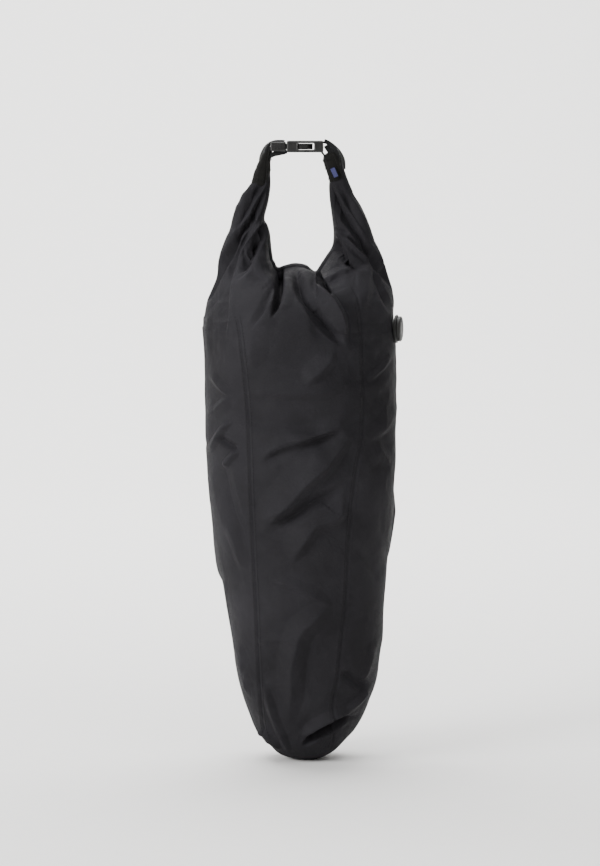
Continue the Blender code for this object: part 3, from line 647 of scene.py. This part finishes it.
def smooth_directions(out, passes=6):
    """Unit directions averaged over their neighbours, so that steep folds don't tangle."""
    for _ in range(passes):
        out = (np.roll(out, 1, axis=1) + 2 * out + np.roll(out, -1, axis=1)) / 4
        out[1:-1] = (out[:-2] + 2 * out[1:-1] + out[2:]) / 4
    return out / np.maximum(np.linalg.norm(out, axis=2, keepdims=True), 1e-9)


def frame_centre(node):
    """The middle of a CAD node, in millimetres."""
    low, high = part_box(node)
    return np.array((low + high) / 2) / MM


# ---------------------------------------------------------------- meshes


def skin_piece(name, grid, normals, cloth, chosen, bottom=False):
    """One part of the skin: the quads of the grid that chosen marks."""
    rows, columns = grid.shape[:2]
    index = np.arange(rows * columns).reshape(rows, columns)
    right = np.roll(index, -1, axis=1)
    quads = np.stack([index[:-1], right[:-1], right[1:], index[1:]], axis=2)[chosen[: rows - 1]]
    used, packed = np.unique(quads, return_inverse=True)
    faces = packed.reshape(-1, 4).tolist()
    if bottom:
        ring = np.searchsorted(used, index[0][::-1])
        faces.append(ring.tolist())
    mesh = bpy.data.meshes.new(name)
    mesh.from_pydata((grid.reshape(-1, 3)[used] * MM).tolist(), [], faces)
    mesh.shade_smooth()
    mesh.normals_split_custom_set_from_vertices(normals.reshape(-1, 3)[used].tolist())
    layer = mesh.uv_layers.new(name="cloth")
    corners = np.zeros(len(mesh.loops), int)
    mesh.loops.foreach_get("vertex_index", corners)
    uv = cloth.reshape(-1, 2)[used][corners] * MM
    wrapped = quads_wrap(corners, mesh, cloth.reshape(-1, 2)[used])
    uv[:, 0] += wrapped * CLOTH_AROUND * MM
    layer.data.foreach_set("uv", uv.ravel().astype(np.float32))
    obj = bpy.data.objects.new(name, mesh)
    bpy.context.scene.collection.objects.link(obj)
    return obj


def quads_wrap(corners, mesh, cloth):
    """1 for the corners of the last column's faces that lie on the first column."""
    start = np.zeros(len(mesh.polygons), int)
    total = np.zeros(len(mesh.polygons), int)
    mesh.polygons.foreach_get("loop_start", start)
    mesh.polygons.foreach_get("loop_total", total)
    across = cloth[corners, 0]
    face = np.repeat(np.arange(len(start)), total)
    highest = np.maximum.reduceat(across, start)
    return ((highest[face] - across > CLOTH_AROUND / 2) & (total[face] == 4)).astype(float)


# ---------------------------------------------------------------- materials


class Look:
    """A material being made: its shader's inputs, and short ways to put nodes before them."""

    def __init__(self, name, colour, roughness, specular):
        self.made = bpy.data.materials.new(name)
        self.made.use_nodes = True
        self.nodes = self.made.node_tree.nodes
        self.join = self.made.node_tree.links.new
        self.inputs = self.nodes["Principled BSDF"].inputs
        self.inputs["Base Color"].default_value = (*colour, 1)
        self.inputs["Roughness"].default_value = roughness
        self.inputs["Specular IOR Level"].default_value = specular
        self.place = self.coordinates("Object")

    def coordinates(self, kind):
        return self.nodes.new("ShaderNodeTexCoord").outputs[kind]

    def texture(self, kind, vector, **values):
        """A texture node with its input values, fed by vector."""
        node = self.nodes.new("ShaderNodeTex" + kind)
        for name, value in values.items():
            node.inputs[name.replace("_", " ").title()].default_value = value
        self.join(vector, node.inputs["Vector"])
        return node

    def noise(self, vector, scale, detail=3, roughness=0.5, distortion=0.0):
        values = {"scale": scale, "detail": detail, "roughness": roughness, "distortion": distortion}
        return self.texture("Noise", vector, **values).outputs["Fac"]

    def stripes(self, vector, scale, axis):
        node = self.texture("Wave", vector, scale=scale, distortion=0.6, detail=1, detail_scale=2)
        node.wave_type = "BANDS"
        node.bands_direction = axis
        return node.outputs["Fac"]

    def maths(self, operation, *values):
        node = self.nodes.new("ShaderNodeMath")
        node.operation = operation
        for socket, value in zip(node.inputs, values):
            if isinstance(value, (int, float)):
                socket.default_value = value
            else:
                self.join(value, socket)
        return node.outputs[0]

    def colour(self, factor, low, dark, high, light):
        """Colours the surface from dark, where factor is low, to light, where it is high."""
        node = self.nodes.new("ShaderNodeValToRGB")
        for element, position, shade in zip(node.color_ramp.elements, (low, high), (dark, light)):
            element.position = position
            element.color = (*shade, 1)
        self.join(factor, node.inputs["Fac"])
        self.join(node.outputs["Color"], self.inputs["Base Color"])

    def bumps(self, *layers):
        """Stacks bump layers: each is a height, its strength and its depth in metres."""
        normal = None
        for height, strength, depth in layers:
            node = self.nodes.new("ShaderNodeBump")
            node.inputs["Strength"].default_value = strength
            node.inputs["Distance"].default_value = depth
            self.join(height, node.inputs["Height"])
            if normal is not None:
                self.join(normal, node.inputs["Normal"])
            normal = node.outputs["Normal"]
        self.join(normal, self.inputs["Normal"])


def nylon(name):
    """Tightly woven nylon with a thin, dull coating."""
    look = Look(name, (0.012, 0.012, 0.013), 0.5, 0.03)
    cloth = look.coordinates("UV")
    weave = look.maths("ADD", look.stripes(cloth, 620, "X"), look.stripes(cloth, 620, "Y"))
    slub = look.noise(cloth, 900, 2, 0.6)
    crinkle = look.noise(look.place, 95, 4, 0.55, 0.7)
    ripple = look.noise(look.place, 34, 3, 0.5, 1.1)
    patch = look.noise(look.place, 12, 3, 0.55)
    tone = look.maths("MULTIPLY_ADD", slub, 0.35, look.maths("MULTIPLY", patch, 0.65))
    look.colour(tone, 0.32, (0.0118, 0.0113, 0.0125), 0.68, (0.0225, 0.0216, 0.0245))
    look.join(look.maths("MULTIPLY_ADD", crinkle, 0.2, 0.5), look.inputs["Roughness"])
    look.bumps((weave, 0.35, 0.0002), (crinkle, 0.5, 0.0009), (ripple, 0.45, 0.002))
    return look.made


def strap_weave(name, colour, ribs):
    """Close ribbed tape: ribs across it and a fine twill along it."""
    look = Look(name, colour, 0.72, 0.1)
    across = look.stripes(look.place, ribs, "DIAGONAL")
    fine = look.noise(look.place, 1500, 2, 0.6)
    tone = look.maths("MULTIPLY_ADD", fine, 0.6, look.maths("MULTIPLY", across, 0.4))
    dark = tuple(0.6 * c for c in colour)
    light = tuple(1.5 * c for c in colour)
    look.colour(tone, 0.25, dark, 0.8, light)
    look.bumps((across, 0.5, 0.0003), (fine, 0.3, 0.0001))
    return look.made


def moulded(name, colour, roughness, grain=0.35):
    """Moulded plastic with a fine satin grain and worn, slightly paler high spots."""
    look = Look(name, colour, roughness, 0.3)
    fine = look.noise(look.place, 2400, 3, 0.6)
    flow = look.noise(look.place, 160, 3, 0.55)
    look.colour(flow, 0.35, colour, 0.75, tuple(1.55 * c for c in colour))
    look.join(look.maths("MULTIPLY_ADD", flow, 0.22, roughness - 0.1), look.inputs["Roughness"])
    look.bumps((fine, grain, 0.00006), (flow, 0.12, 0.0003))
    return look.made


def thread_look():
    look = Look("thread", (0.008, 0.008, 0.0085), 0.8, 0.1)
    twist = look.stripes(look.place, 1300, "DIAGONAL")
    look.colour(twist, 0.2, (0.004, 0.004, 0.0045), 0.8, (0.011, 0.011, 0.012))
    look.bumps((twist, 0.5, 0.0001))
    return look.made


def paper():
    look = Look("paper_sweep", (0.8, 0.798, 0.79), 0.85, 0.1)
    fibre = look.noise(look.place, 40, 2, 0.5)
    look.colour(fibre, 0.2, (0.799, 0.793, 0.780), 0.8, (0.811, 0.805, 0.792))
    return look.made


# ---------------------------------------------------------------- small pieces


def link(name, bm, look):
    """Turns bm into a smooth object of this name and finish."""
    mesh = bpy.data.meshes.new(name)
    bmesh.ops.recalc_face_normals(bm, faces=bm.faces[:])
    bm.to_mesh(mesh)
    bm.free()
    mesh.shade_smooth()
    mesh.set_sharp_from_angle(angle=math.radians(50))
    mesh.materials.append(look)
    obj = bpy.data.objects.new(name, mesh)
    bpy.context.scene.collection.objects.link(obj)
    return obj


def loft(bm, rings, caps=True):
    """Bridges closed rings of points in millimetres, and caps both ends."""
    made = [[bm.verts.new(Vector(p) * MM) for p in ring] for ring in rings]
    count = len(made[0])
    for a, b in zip(made, made[1:]):
        for i in range(count):
            bm.faces.new((a[i], a[(i + 1) % count], b[(i + 1) % count], b[i]))
    if caps:
        bm.faces.new(made[0][::-1])
        bm.faces.new(made[-1])


def rounded(half_a, half_b, count=28, power=3.6):
    """A rounded rectangle as (a, b) points round the origin."""
    points = []
    for i in range(count):
        angle = 2 * math.pi * i / count
        c, s = math.cos(angle), math.sin(angle)
        a = half_a * math.copysign(abs(c) ** (2 / power), c)
        b = half_b * math.copysign(abs(s) ** (2 / power), s)
        points.append((a, b))
    return points


def ribbon(bm, centres, widths, normals, half_width, thickness):
    """A strap along centres. Widths and normals are its unit directions at each one."""
    shape = rounded(half_width, thickness / 2, 20, 8)
    rings = []
    for c, w, n in zip(centres, widths, normals):
        rings.append([Vector(c) + Vector(w) * a + Vector(n) * b for a, b in shape])
    loft(bm, rings)


class Surface:
    """Finds points on the finished skin, in millimetres."""

    def __init__(self, grid):
        rows, columns = grid.shape[:2]
        index = np.arange(rows * columns).reshape(rows, columns)
        right = np.roll(index, -1, axis=1)
        quads = np.stack([index[:-1], right[:-1], right[1:], index[1:]], axis=2)
        self.tree = BVHTree.FromPolygons(grid.reshape(-1, 3).tolist(), quads.reshape(-1, 4).tolist())

    def front(self, x, z, back=False):
        """The first point met from the front, or from the back, and its outward normal."""
        sign = 1 if back else -1
        hit, normal, _, _ = self.tree.ray_cast(Vector((x, sign * 300, z)), Vector((0, -sign, 0)))
        if hit is None:
            return None, None
        if normal.y * sign < 0:
            normal = -normal
        return hit, normal


def stitch_row(bm, surface, line, back=False, pitch=3.1, length=2.1, radius=0.28, lift=0.1):
    """Thread stitches that follow a line over the skin."""
    line = catmull(line, 400)
    steps = np.concatenate([[0], np.cumsum(np.linalg.norm(np.diff(line, axis=0), axis=1))])
    position = pitch
    while position < steps[-1] - pitch:
        ends = []
        for offset in (-length / 2, length / 2):
            x = np.interp(position + offset, steps, line[:, 0])
            z = np.interp(position + offset, steps, line[:, 1])
            ends.append(surface.front(float(x), float(z), back))
        position += pitch
        if ends[0][0] is None or ends[1][0] is None:
            continue
        if (ends[0][0] - ends[1][0]).length > 2.2 * length:
            continue
        one_stitch(bm, ends[0][0], ends[1][0], (ends[0][1] + ends[1][1]).normalized(), radius, lift)


# Along a stitch: share of its length, thickness and rise.
STITCH_BOW = ((0, 0.45, -0.5), (0.2, 0.95, 0.6), (0.5, 1, 1), (0.8, 0.95, 0.6), (1, 0.45, -0.5))


def one_stitch(bm, a, b, normal, radius, lift):
    """A short, slightly bowed thread from a to b that dips into the cloth at both ends."""
    along = (b - a).normalized()
    side = along.cross(normal).normalized()
    up = side.cross(along)
    rings = []
    for share, swell, rise in STITCH_BOW:
        centre = a.lerp(b, share) + up * (lift * rise + radius * 0.4 * rise)
        ring = []
        for i in range(6):
            angle = 2 * math.pi * i / 6
            out = side * (radius * swell * math.cos(angle))
            ring.append(centre + out + up * (radius * swell * math.sin(angle)))
        rings.append(ring)
    loft(bm, rings)


# ---------------------------------------------------------------- the soft pieces

# Where each arm starts on the sack, and which way it leans.
ARM_ROOT = {"left": (-26.0, 0.0, 493.5), "right": (15.0, 0.0, 493.5)}
ARM_SIDE = {"left": -1, "right": 1}


def arm_line(side):
    """Where an arm starts, and the direction that leads from the sack onto it."""
    start = Vector(ARM_ROOT[side])
    across = Vector((0.3 * ARM_SIDE[side], 0, 0.95)).normalized()
    return start, across


def bend_with_arm(obj):
    """Bakes a piece's placement into its mesh."""
    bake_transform(obj)


def beyond(centres, side):
    """Which of the centres lie on an arm, past where it starts."""
    start, across = arm_line(side)
    gap = (centres - np.array(start)) @ np.array(across)
    return (gap > 0) & ((centres[..., 0] - LOOP_X) * ARM_SIDE[side] > 0)


def make_fabric(grid, normals, cloth, look):
    """The sack and both arms, cut from one skin."""
    beside = np.roll(grid, -1, axis=1)
    centres = (grid[:-1] + grid[1:] + beside[:-1] + beside[1:]) / 4
    left = beyond(centres, "left")
    right = beyond(centres, "right")
    sack = skin_piece("sack_fabric", grid, normals, cloth, ~(left | right), bottom=True)
    sack.data.materials.append(look)
    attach(sack, "sack")
    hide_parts("front_panel", "back_panel", "left_panel", "right_panel", "base_panel")
    for side, chosen in (("left", left), ("right", right)):
        arm = skin_piece(side + "_arm_fabric", grid, normals, cloth, chosen)
        arm.data.materials.append(look)
        bend_with_arm(arm)
        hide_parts("gusset_fold_" + side)


ROLL_HALF_WIDTH = 11.5
ROLL_HALF_THICK = 5.2
# How far the roll lies below the loop's edge and behind the middle, and the heights over
# which its ends go into the hem bands.
ROLL_SINK = 9.0
ROLL_BACK = 4.5
ROLL_IN_BAND = (565, 588)


def make_rolls(look):
    """The rolled mouth behind the loop's edge, in three stretches between its two folds."""
    edge, inward = edge_frame(260)
    rings = []
    for number, (point, into) in enumerate(zip(edge, inward)):
        share = number / (len(edge) - 1)
        inside = float(ease(min(share, 1 - share), 0.02, 0.3))
        size = 0.5 + 0.5 * inside
        wave = 0.35 * math.sin(number / 7.0) + 0.25 * math.sin(number / 2.9 + 1)
        inner = Vector((into[0], 0, into[1]))
        centre = Vector((point[0], ROLL_BACK * inside, point[1])) - inner * ROLL_SINK * inside
        band = np.array([place for place, _, _ in BANDS["left" if share < 0.5 else "right"]])
        near = float(ease(centre.z, *ROLL_IN_BAND))
        centre.x += near * (float(np.interp(centre.z, band[:, 1], band[:, 0])) - centre.x)
        ring = []
        count = 36
        for i in range(count):
            angle = 2 * math.pi * (i + 0.5) / count + 0.9
            wound = i / (count - 1)
            grow = 1 - 0.16 * wound
            c, s = math.cos(angle), math.sin(angle)
            a = (ROLL_HALF_WIDTH * size + 0.5 * wave) * grow * math.copysign(abs(c) ** 0.6, c)
            b = (ROLL_HALF_THICK + 0.3 * wave) * size * grow * math.copysign(abs(s) ** 0.6, s)
            ring.append(centre + Vector((0, 1, 0)) * a + inner * b)
        rings.append(ring)
    centres = np.array([[point[0], 0, point[1]] for point in edge])
    left = int(np.argmax(~beyond(centres, "left")))
    right = int(np.argmax(beyond(centres, "right")))
    spans = {"left": (0, left + 1), "center": (left, right + 1), "right": (right, len(rings))}
    for part, (first, last) in spans.items():
        bm = bmesh.new()
        loft(bm, rings[first:last])
        obj = link("roll_" + part, bm, look)
        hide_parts("mouth_roll_" + part, "hem_stiffener_" + part)
        if part == "center":
            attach(obj, "sack")
        else:
            bend_with_arm(obj)


# How far each row of stitches lies from its seam, and the short rows beside the mouth.
STITCH_OFFSETS = {
    "front_left": (-2.6, 2.4),
    "front_right": (-3.2,),
    "back_left": (2.4,),
    "back_right": (-2.4,),
}
HEM_ROWS = [
    [(19.5, 497), (24, 492), (29, 486.8)],
    [(22.6, 501), (28, 495), (34, 489)],
    [(26, 505.4), (32, 498.6), (38, 492)],
]
STITCHES_TOP = 470


def make_seams(surface, thread):
    """Rows of stitches along the four panel seams."""
    for seams, back in ((FRONT_SEAMS, False), (BACK_SEAMS, True)):
        for name, line in seams.items():
            bm = bmesh.new()
            for offset in STITCH_OFFSETS[name]:
                shifted = [(x + offset, z) for x, z in line if z < STITCHES_TOP]
                stitch_row(bm, surface, shifted, back)
            if name == "front_right":
                for row in HEM_ROWS:
                    stitch_row(bm, surface, row, pitch=2.0, length=1.3)
            obj = link("stitches_" + name, bm, thread)
            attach(obj, "sack")
            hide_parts("seam_tape_" + name)


# Hem bands at the arms' tips: centre (x, z), half thickness and half width in Y.
BANDS = {
    "left": [
        ((-42.4, 573), 8.6, 11.0),
        ((-40.4, 582), 8.1, 11.4),
        ((-38.5, 590), 6.9, 11.2),
        ((-36.6, 598), 5.3, 10.8),
        ((-34.6, 604), 4.4, 10.4),
        ((-32.2, 608.4), 3.6, 10.0),
    ],
    "right": [
        ((33.8, 577), 7.0, 11.0),
        ((32.0, 585), 7.4, 11.6),
        ((30.4, 593), 8.2, 11.6),
        ((28.8, 600), 8.6, 11.2),
        ((27.6, 603.4), 7.4, 10.8),
        ((26.8, 605.6), 5.6, 10.4),
    ],
}
BAND_LAYER = 1.0
BAND_LAYERS = 7


def band_frames(side, count):
    """Points along a band with its half sizes, and the directions across and along it."""
    table = np.array([(x, z, thick, wide) for (x, z), thick, wide in BANDS[side]], float)
    curve = catmull(table, count)
    along = np.gradient(curve[:, :2], axis=0)
    along /= np.linalg.norm(along, axis=1, keepdims=True)
    across = np.stack([along[:, 1], -along[:, 0]], axis=1)
    return curve, across, along


def make_bands(look):
    """Folded hem tape that closes each end of the rolled mouth."""
    for side in BANDS:
        curve, across, _ = band_frames(side, 34)
        rings = []
        for number, ((x, z, thick, wide), side_way) in enumerate(zip(curve, across)):
            share = number / (len(curve) - 1)
            ends = 1 - 0.25 * max(0, (share - 0.93) / 0.07) - 0.12 * max(0, (0.05 - share) / 0.05)
            ring = []
            for index, (a, b) in enumerate(rounded(thick * ends, wide * ends, 72, 3.0)):
                wound = (BAND_LAYERS * (index / 72 + 0.1 * share)) % 1
                scale = 1 + BAND_LAYER / 8 * (0.5 - wound) + 0.012 * math.sin(number * 0.8)
                ring.append((x + side_way[0] * a * scale, b * scale, z + side_way[1] * a * scale))
            rings.append(ring)
        bm = bmesh.new()
        loft(bm, rings)
        obj = link("hem_band_" + side, bm, look)
        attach(obj, side + "_arm")


# Routes of the straps as (x, z) points: round the buckle's bar, over it, under the male half,
# inside the fold, and the flap beside the female half.
WEBBING_ROUTES = {
    "left": [
        (-38.4, 592), (-38.3, 600), (-36.0, 607.4), (-32.9, 612.9), (-28.8, 615.4),
        (-25.4, 613.6), (-24.9, 609.6), (-27.2, 606.4), (-30.6, 603.4), (-34.4, 597),
    ],
    "right": [
        (36.0, 588), (36.2, 597), (34.0, 604.4), (29.4, 610.4), (23.6, 614.4), (18.2, 615.4),
        (14.5, 612.8), (14.7, 608.6), (18.6, 606.2), (22.6, 600), (25.6, 591),
    ],
}
WEBBING_COVER = {
    "left": [
        (-39.6, 594), (-39.2, 601), (-36.6, 608.8), (-32.6, 613.6), (-27.6, 615.9),
        (-22, 616.3), (-17.6, 616.0),
    ],
    "right": [(37.4, 589), (37.7, 597.6), (35.4, 605.6), (30.6, 611.8), (25.4, 615.6), (21.6, 617.2)],
}
WEBBING_TAIL = [(-33.6, 601), (-29, 603.4), (-24, 604.6), (-19, 605.6), (-15.6, 606.8)]
WEBBING_FILL = {
    "left": [(-35.4, 600), (-33.6, 606), (-31.8, 611.4)],
    "right": [(30.0, 600), (26.6, 606.6), (23.0, 612.2)],
}
WEBBING_FLAP = [(33.4, 597), (32.4, 603), (29.6, 608.4), (25.8, 612.6)]
# Degrees that a strap is turned on edge at its start and at its end.
WEBBING_TURN = {"left": (16, 0), "right": (-26, 0)}
STRAP_HALF = 9.9
STRAP_THICK = 2.0


def strap_mesh(bm, route, count, half=STRAP_HALF, thick=STRAP_THICK, turn=(0, 0), turned=1.0):
    """A flat strap along an X-Z route, turned on edge by some degrees along the way."""
    centres = catmull([(x, 0, z) for x, z in route], count)
    tangents = np.gradient(centres, axis=0)
    tangents /= np.linalg.norm(tangents, axis=1, keepdims=True)
    wides = []
    for number, tangent in enumerate(tangents):
        share = min(number / (count - 1) / turned, 1)
        angle = turn[0] + (turn[1] - turn[0]) * float(ease(share, 0, 1))
        wides.append(Matrix.Rotation(math.radians(angle), 3, Vector(tangent)) @ Vector((0, 1, 0)))
    normals = [Vector(t).cross(wide).normalized() for t, wide in zip(tangents, wides)]
    ribbon(bm, centres, wides, normals, half, thick)


def make_webbing(look):
    """Each strap leaves its band, goes round the buckle's bar and comes back under it."""
    for side, route in WEBBING_ROUTES.items():
        bm = bmesh.new()
        strap_mesh(bm, route, 90, turn=WEBBING_TURN[side], turned=0.3)
        strap_mesh(bm, WEBBING_COVER[side], 50, 9.6, 3.0, turn=WEBBING_TURN[side], turned=0.8)
        strap_mesh(bm, WEBBING_FILL[side], 20, 9.2, 5.0)
        if side == "left":
            strap_mesh(bm, WEBBING_TAIL, 24, 9.4, 4.8)
        else:
            strap_mesh(bm, WEBBING_FLAP, 24, 9.0, 5.6)
        obj = link("webbing_" + side, bm, look)
        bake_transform(obj)
        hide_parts("webbing_tab_" + side)


def make_tacks(thread):
    """Rows of stitches round each hem band, and a dense zigzag tack on its inner face."""
    for side, out in (("left", -1), ("right", 1)):
        curve, across, along = band_frames(side, 60)
        bm = bmesh.new()
        for index in (8, 27, 44):
            x, z, thick, wide = curve[index]
            way, up = across[index], along[index]
            face = -wide - 0.35
            for number in range(5):
                start = (-0.72 + 0.32 * number) * thick
                a = Vector((x + way[0] * start, face, z + way[1] * start))
                end = start + 0.2 * thick
                b = Vector((x + way[0] * end, face, z + way[1] * end))
                one_stitch(bm, a, b, Vector((0, -1, 0)), 0.3, 0.12)
            inner = Vector((x, 0, z)) - Vector((way[0], 0, way[1])) * (thick + 0.3) * out
            normal = -Vector((way[0], 0, way[1])) * out
            for number in range(24):
                y = -7.6 + 15.2 * number / 24
                rise = Vector((up[0], 0, up[1])) * (1.0 if number % 2 else -1.0)
                a = inner + Vector((0, y, 0)) + rise
                b = inner + Vector((0, y + 0.63, 0)) - rise
                one_stitch(bm, a, b, normal, 0.28, 0.1)
        obj = link("stitches_band_" + side, bm, thread)
        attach(obj, side + "_arm")
        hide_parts("bar_tack_" + side)


TAG_CENTRE = (31.2, -12.4, 585.8)
TAG_TILT = -24
TAG_HALF = (2.2, 4.7)


def make_tag(look):
    """A small plain label, folded in half, that stands out from under the band's edge."""
    turn = Matrix.Rotation(math.radians(TAG_TILT), 3, "Y")
    centre = Vector(TAG_CENTRE)
    half_width, half_height = TAG_HALF
    path = [(-0.2, 1), (-1.0, 0.2), (-1.5, -0.7), (-1.9, -1), (-2.3, -0.8), (-2.2, 0), (-1.5, 0.9)]
    curve = catmull([(y, share * half_height) for y, share in path], 26)
    bm = bmesh.new()
    rings = []
    for number, (y, z) in enumerate(curve):
        sway = 0.25 * math.sin(number / 5)
        shape = rounded(half_width, 0.22, 18, 6)
        rings.append([centre + turn @ Vector((a, y + b + 0.05 * a * sway, z)) for a, b in shape])
    loft(bm, rings)
    obj = link("folded_tag", bm, look)
    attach(obj, "right_arm")
    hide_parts("side_tag")


# ---------------------------------------------------------------- buckle details


def box_piece(bm, low, high, radius=0.25):
    """A box in millimetres with rounded edges."""
    made = bmesh.ops.create_cube(bm, size=1)
    size = Vector(high) - Vector(low)
    middle = (Vector(high) + Vector(low)) / 2
    for vertex in made["verts"]:
        vertex.co = (middle + Vector(a * b for a, b in zip(vertex.co, size))) * MM
    edges = {edge for vertex in made["verts"] for edge in vertex.link_edges}
    offset = radius * MM
    bmesh.ops.bevel(bm, geom=list(edges), offset=offset, segments=2, affect="EDGES", profile=0.7)


BUCKLE_Z = 611.2
# A window's middle, half length and half height, and where the raised rims lie in Y.
WINDOW_X = 3.6
WINDOW_HALF = (9.6, 5.0)
RIM_FACE = 14.55
# Grip ribs on both faces of the male half.
RIB_COUNT = 4
RIB_START = -28.2
RIB_PITCH = 3.0
RIB_FACE = 13.6
RIB_HALF_HEIGHT = 3.4


def make_buckle_details(look, painted_highlight_look):
    """The raised window rims of one half, in a paler copy of the plastic that is a painted highlight,
    and the grip ribs of the other.
    """
    z = BUCKLE_Z
    length, height = WINDOW_HALF
    bm = bmesh.new()
    for sign in (-1, 1):
        ring = []
        face = RIM_FACE * sign
        for outer, y in ((1.0, face), (0.82, face + 0.5 * sign), (0.66, face + 0.1 * sign)):
            shape = rounded(length * (0.55 + 0.45 * outer), height * (0.3 + 0.7 * outer), 44, 4.5)
            ring.append([(WINDOW_X + a, y, z + b) for a, b in shape])
        loft(bm, ring, caps=False)
    rim = link("window_rims", bm, painted_highlight_look)
    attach(rim, "female_half")
    bm = bmesh.new()
    for sign in (-1, 1):
        for number in range(RIB_COUNT):
            x = RIB_START + RIB_PITCH * number
            y = sign * RIB_FACE
            low = (x, y - 0.55, z - RIB_HALF_HEIGHT)
            high = (x + 1.1, y + 0.75, z + RIB_HALF_HEIGHT)
            box_piece(bm, low, high)
    grips = link("male_grip_ribs", bm, look)
    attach(grips, "male_half")


# ---------------------------------------------------------------- studio


def area(name, place, target, size, power):
    """A soft rectangular lamp that faces its target."""
    data = bpy.data.lights.new(name, "AREA")
    data.shape = "RECTANGLE"
    data.size, data.size_y = size
    data.energy = power
    obj = bpy.data.objects.new(name, data)
    bpy.context.scene.collection.objects.link(obj)
    obj.location = place
    obj.rotation_euler = (Vector(target) - Vector(place)).to_track_quat("-Z", "Y").to_euler()


# Where the floor starts to curve up, in metres, and the curve's radius.
SWEEP_Y = 2.4
SWEEP_RADIUS = 1.5


def studio():
    """A pale seamless sweep, a soft key from the left and washes over the top, floor and back."""
    world = bpy.data.worlds.new("studio")
    world.use_nodes = True
    background = world.node_tree.nodes["Background"].inputs
    background["Color"].default_value = (1, 0.997, 0.99, 1)
    background["Strength"].default_value = 0.3
    bpy.context.scene.world = world
    bm = bmesh.new()
    rings = []
    profile = [(-6.0, 0.0), (SWEEP_Y, 0.0)]
    for step in range(1, 13):
        angle = math.radians(90 * step / 12)
        y = SWEEP_Y + SWEEP_RADIUS * math.sin(angle)
        profile.append((y, SWEEP_RADIUS - SWEEP_RADIUS * math.cos(angle)))
    profile.append((SWEEP_Y + SWEEP_RADIUS, 6.0))
    for y, z in profile:
        rings.append([bm.verts.new((x, y, z)) for x in (-8.0, 8.0)])
    for a, b in zip(rings, rings[1:]):
        bm.faces.new((a[0], a[1], b[1], b[0]))
    obj = link("paper_sweep", bm, paper())
    area("key", (-2.5, -1.9, 1.45), (0, 0, 0.3), (1.5, 1.5), 146)
    area("top", (-0.6, 0.9, 3.2), (-0.4, 0.6, 0), (3.4, 2.4), 150)
    area("floor_wash", (0.6, -2.2, 2.6), (0.2, -1.4, 0), (3.0, 1.2), 44)
    area("back_wash", (-0.3, 1.7, 3.0), (0, 3.8, 0.4), (4.5, 1.2), 235)


# The camera, in metres and degrees: its aim, distance, angle over the floor and view height.
CAMERA_AIM = (-0.0025, 0, 0.3275)
CAMERA_DISTANCE = 3.2
CAMERA_ELEVATION = 5.5
VIEW_HEIGHT = 0.866
SENSOR = 36


def camera():
    data = bpy.data.cameras.new("camera")
    data.sensor_fit = "VERTICAL"
    data.sensor_height = SENSOR
    data.lens = SENSOR * CAMERA_DISTANCE / VIEW_HEIGHT * 1.006
    obj = bpy.data.objects.new("camera", data)
    bpy.context.scene.collection.objects.link(obj)
    elevation = math.radians(CAMERA_ELEVATION)
    away = Vector((0, -math.cos(elevation), math.sin(elevation)))
    obj.location = Vector(CAMERA_AIM) + away * CAMERA_DISTANCE
    obj.rotation_euler = (math.pi / 2 - elevation, 0, 0)
    bpy.context.scene.camera = obj


# ---------------------------------------------------------------- everything


def dress_cad_nodes(plastic):
    """Finishes for the hard pieces that keep their CAD shape."""
    valve = moulded("matte_valve_plastic", (0.014, 0.014, 0.014), 0.5)
    rubber = moulded("silicone", (0.01, 0.01, 0.01), 0.75, 0.2)
    looks = {
        "buckle_male": plastic,
        "buckle_female": plastic,
        "prong_front": plastic,
        "prong_back": plastic,
        "valve_base": valve,
        "valve_cap": valve,
        "valve_clamp_nut": valve,
        "valve_gasket": rubber,
        "valve_flap": rubber,
    }
    for node, look in looks.items():
        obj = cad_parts[node]
        obj.data.materials.clear()
        obj.data.materials.append(look)


def main():
    """The skin first, then the pieces that lie on it or hold it, then the studio."""
    grid, normals, cloth = shaped_skin()
    surface = Surface(grid)
    fabric = nylon("coated_nylon")
    hem = strap_weave("hem_tape", (0.0075, 0.0072, 0.0066), 900)
    thread = thread_look()
    make_fabric(grid, normals, cloth, fabric)
    make_rolls(nylon("rolled_nylon"))
    make_seams(surface, thread)
    make_bands(hem)
    make_webbing(strap_weave("webbing", (0.012, 0.012, 0.0125), 700))
    make_tacks(thread)
    make_tag(strap_weave("tag_cloth", (0.05, 0.052, 0.13), 1200))
    plastic = moulded("satin_acetal", (0.009, 0.009, 0.0088), 0.4)
    # the window rims use a paler copy of the buckle's plastic: a painted highlight on their chamfer
    make_buckle_details(plastic, moulded("highlight_painted_acetal", (0.013, 0.013, 0.0125), 0.42))
    dress_cad_nodes(plastic)
    studio()
    camera()


main()
bpy.context.view_layer.update()
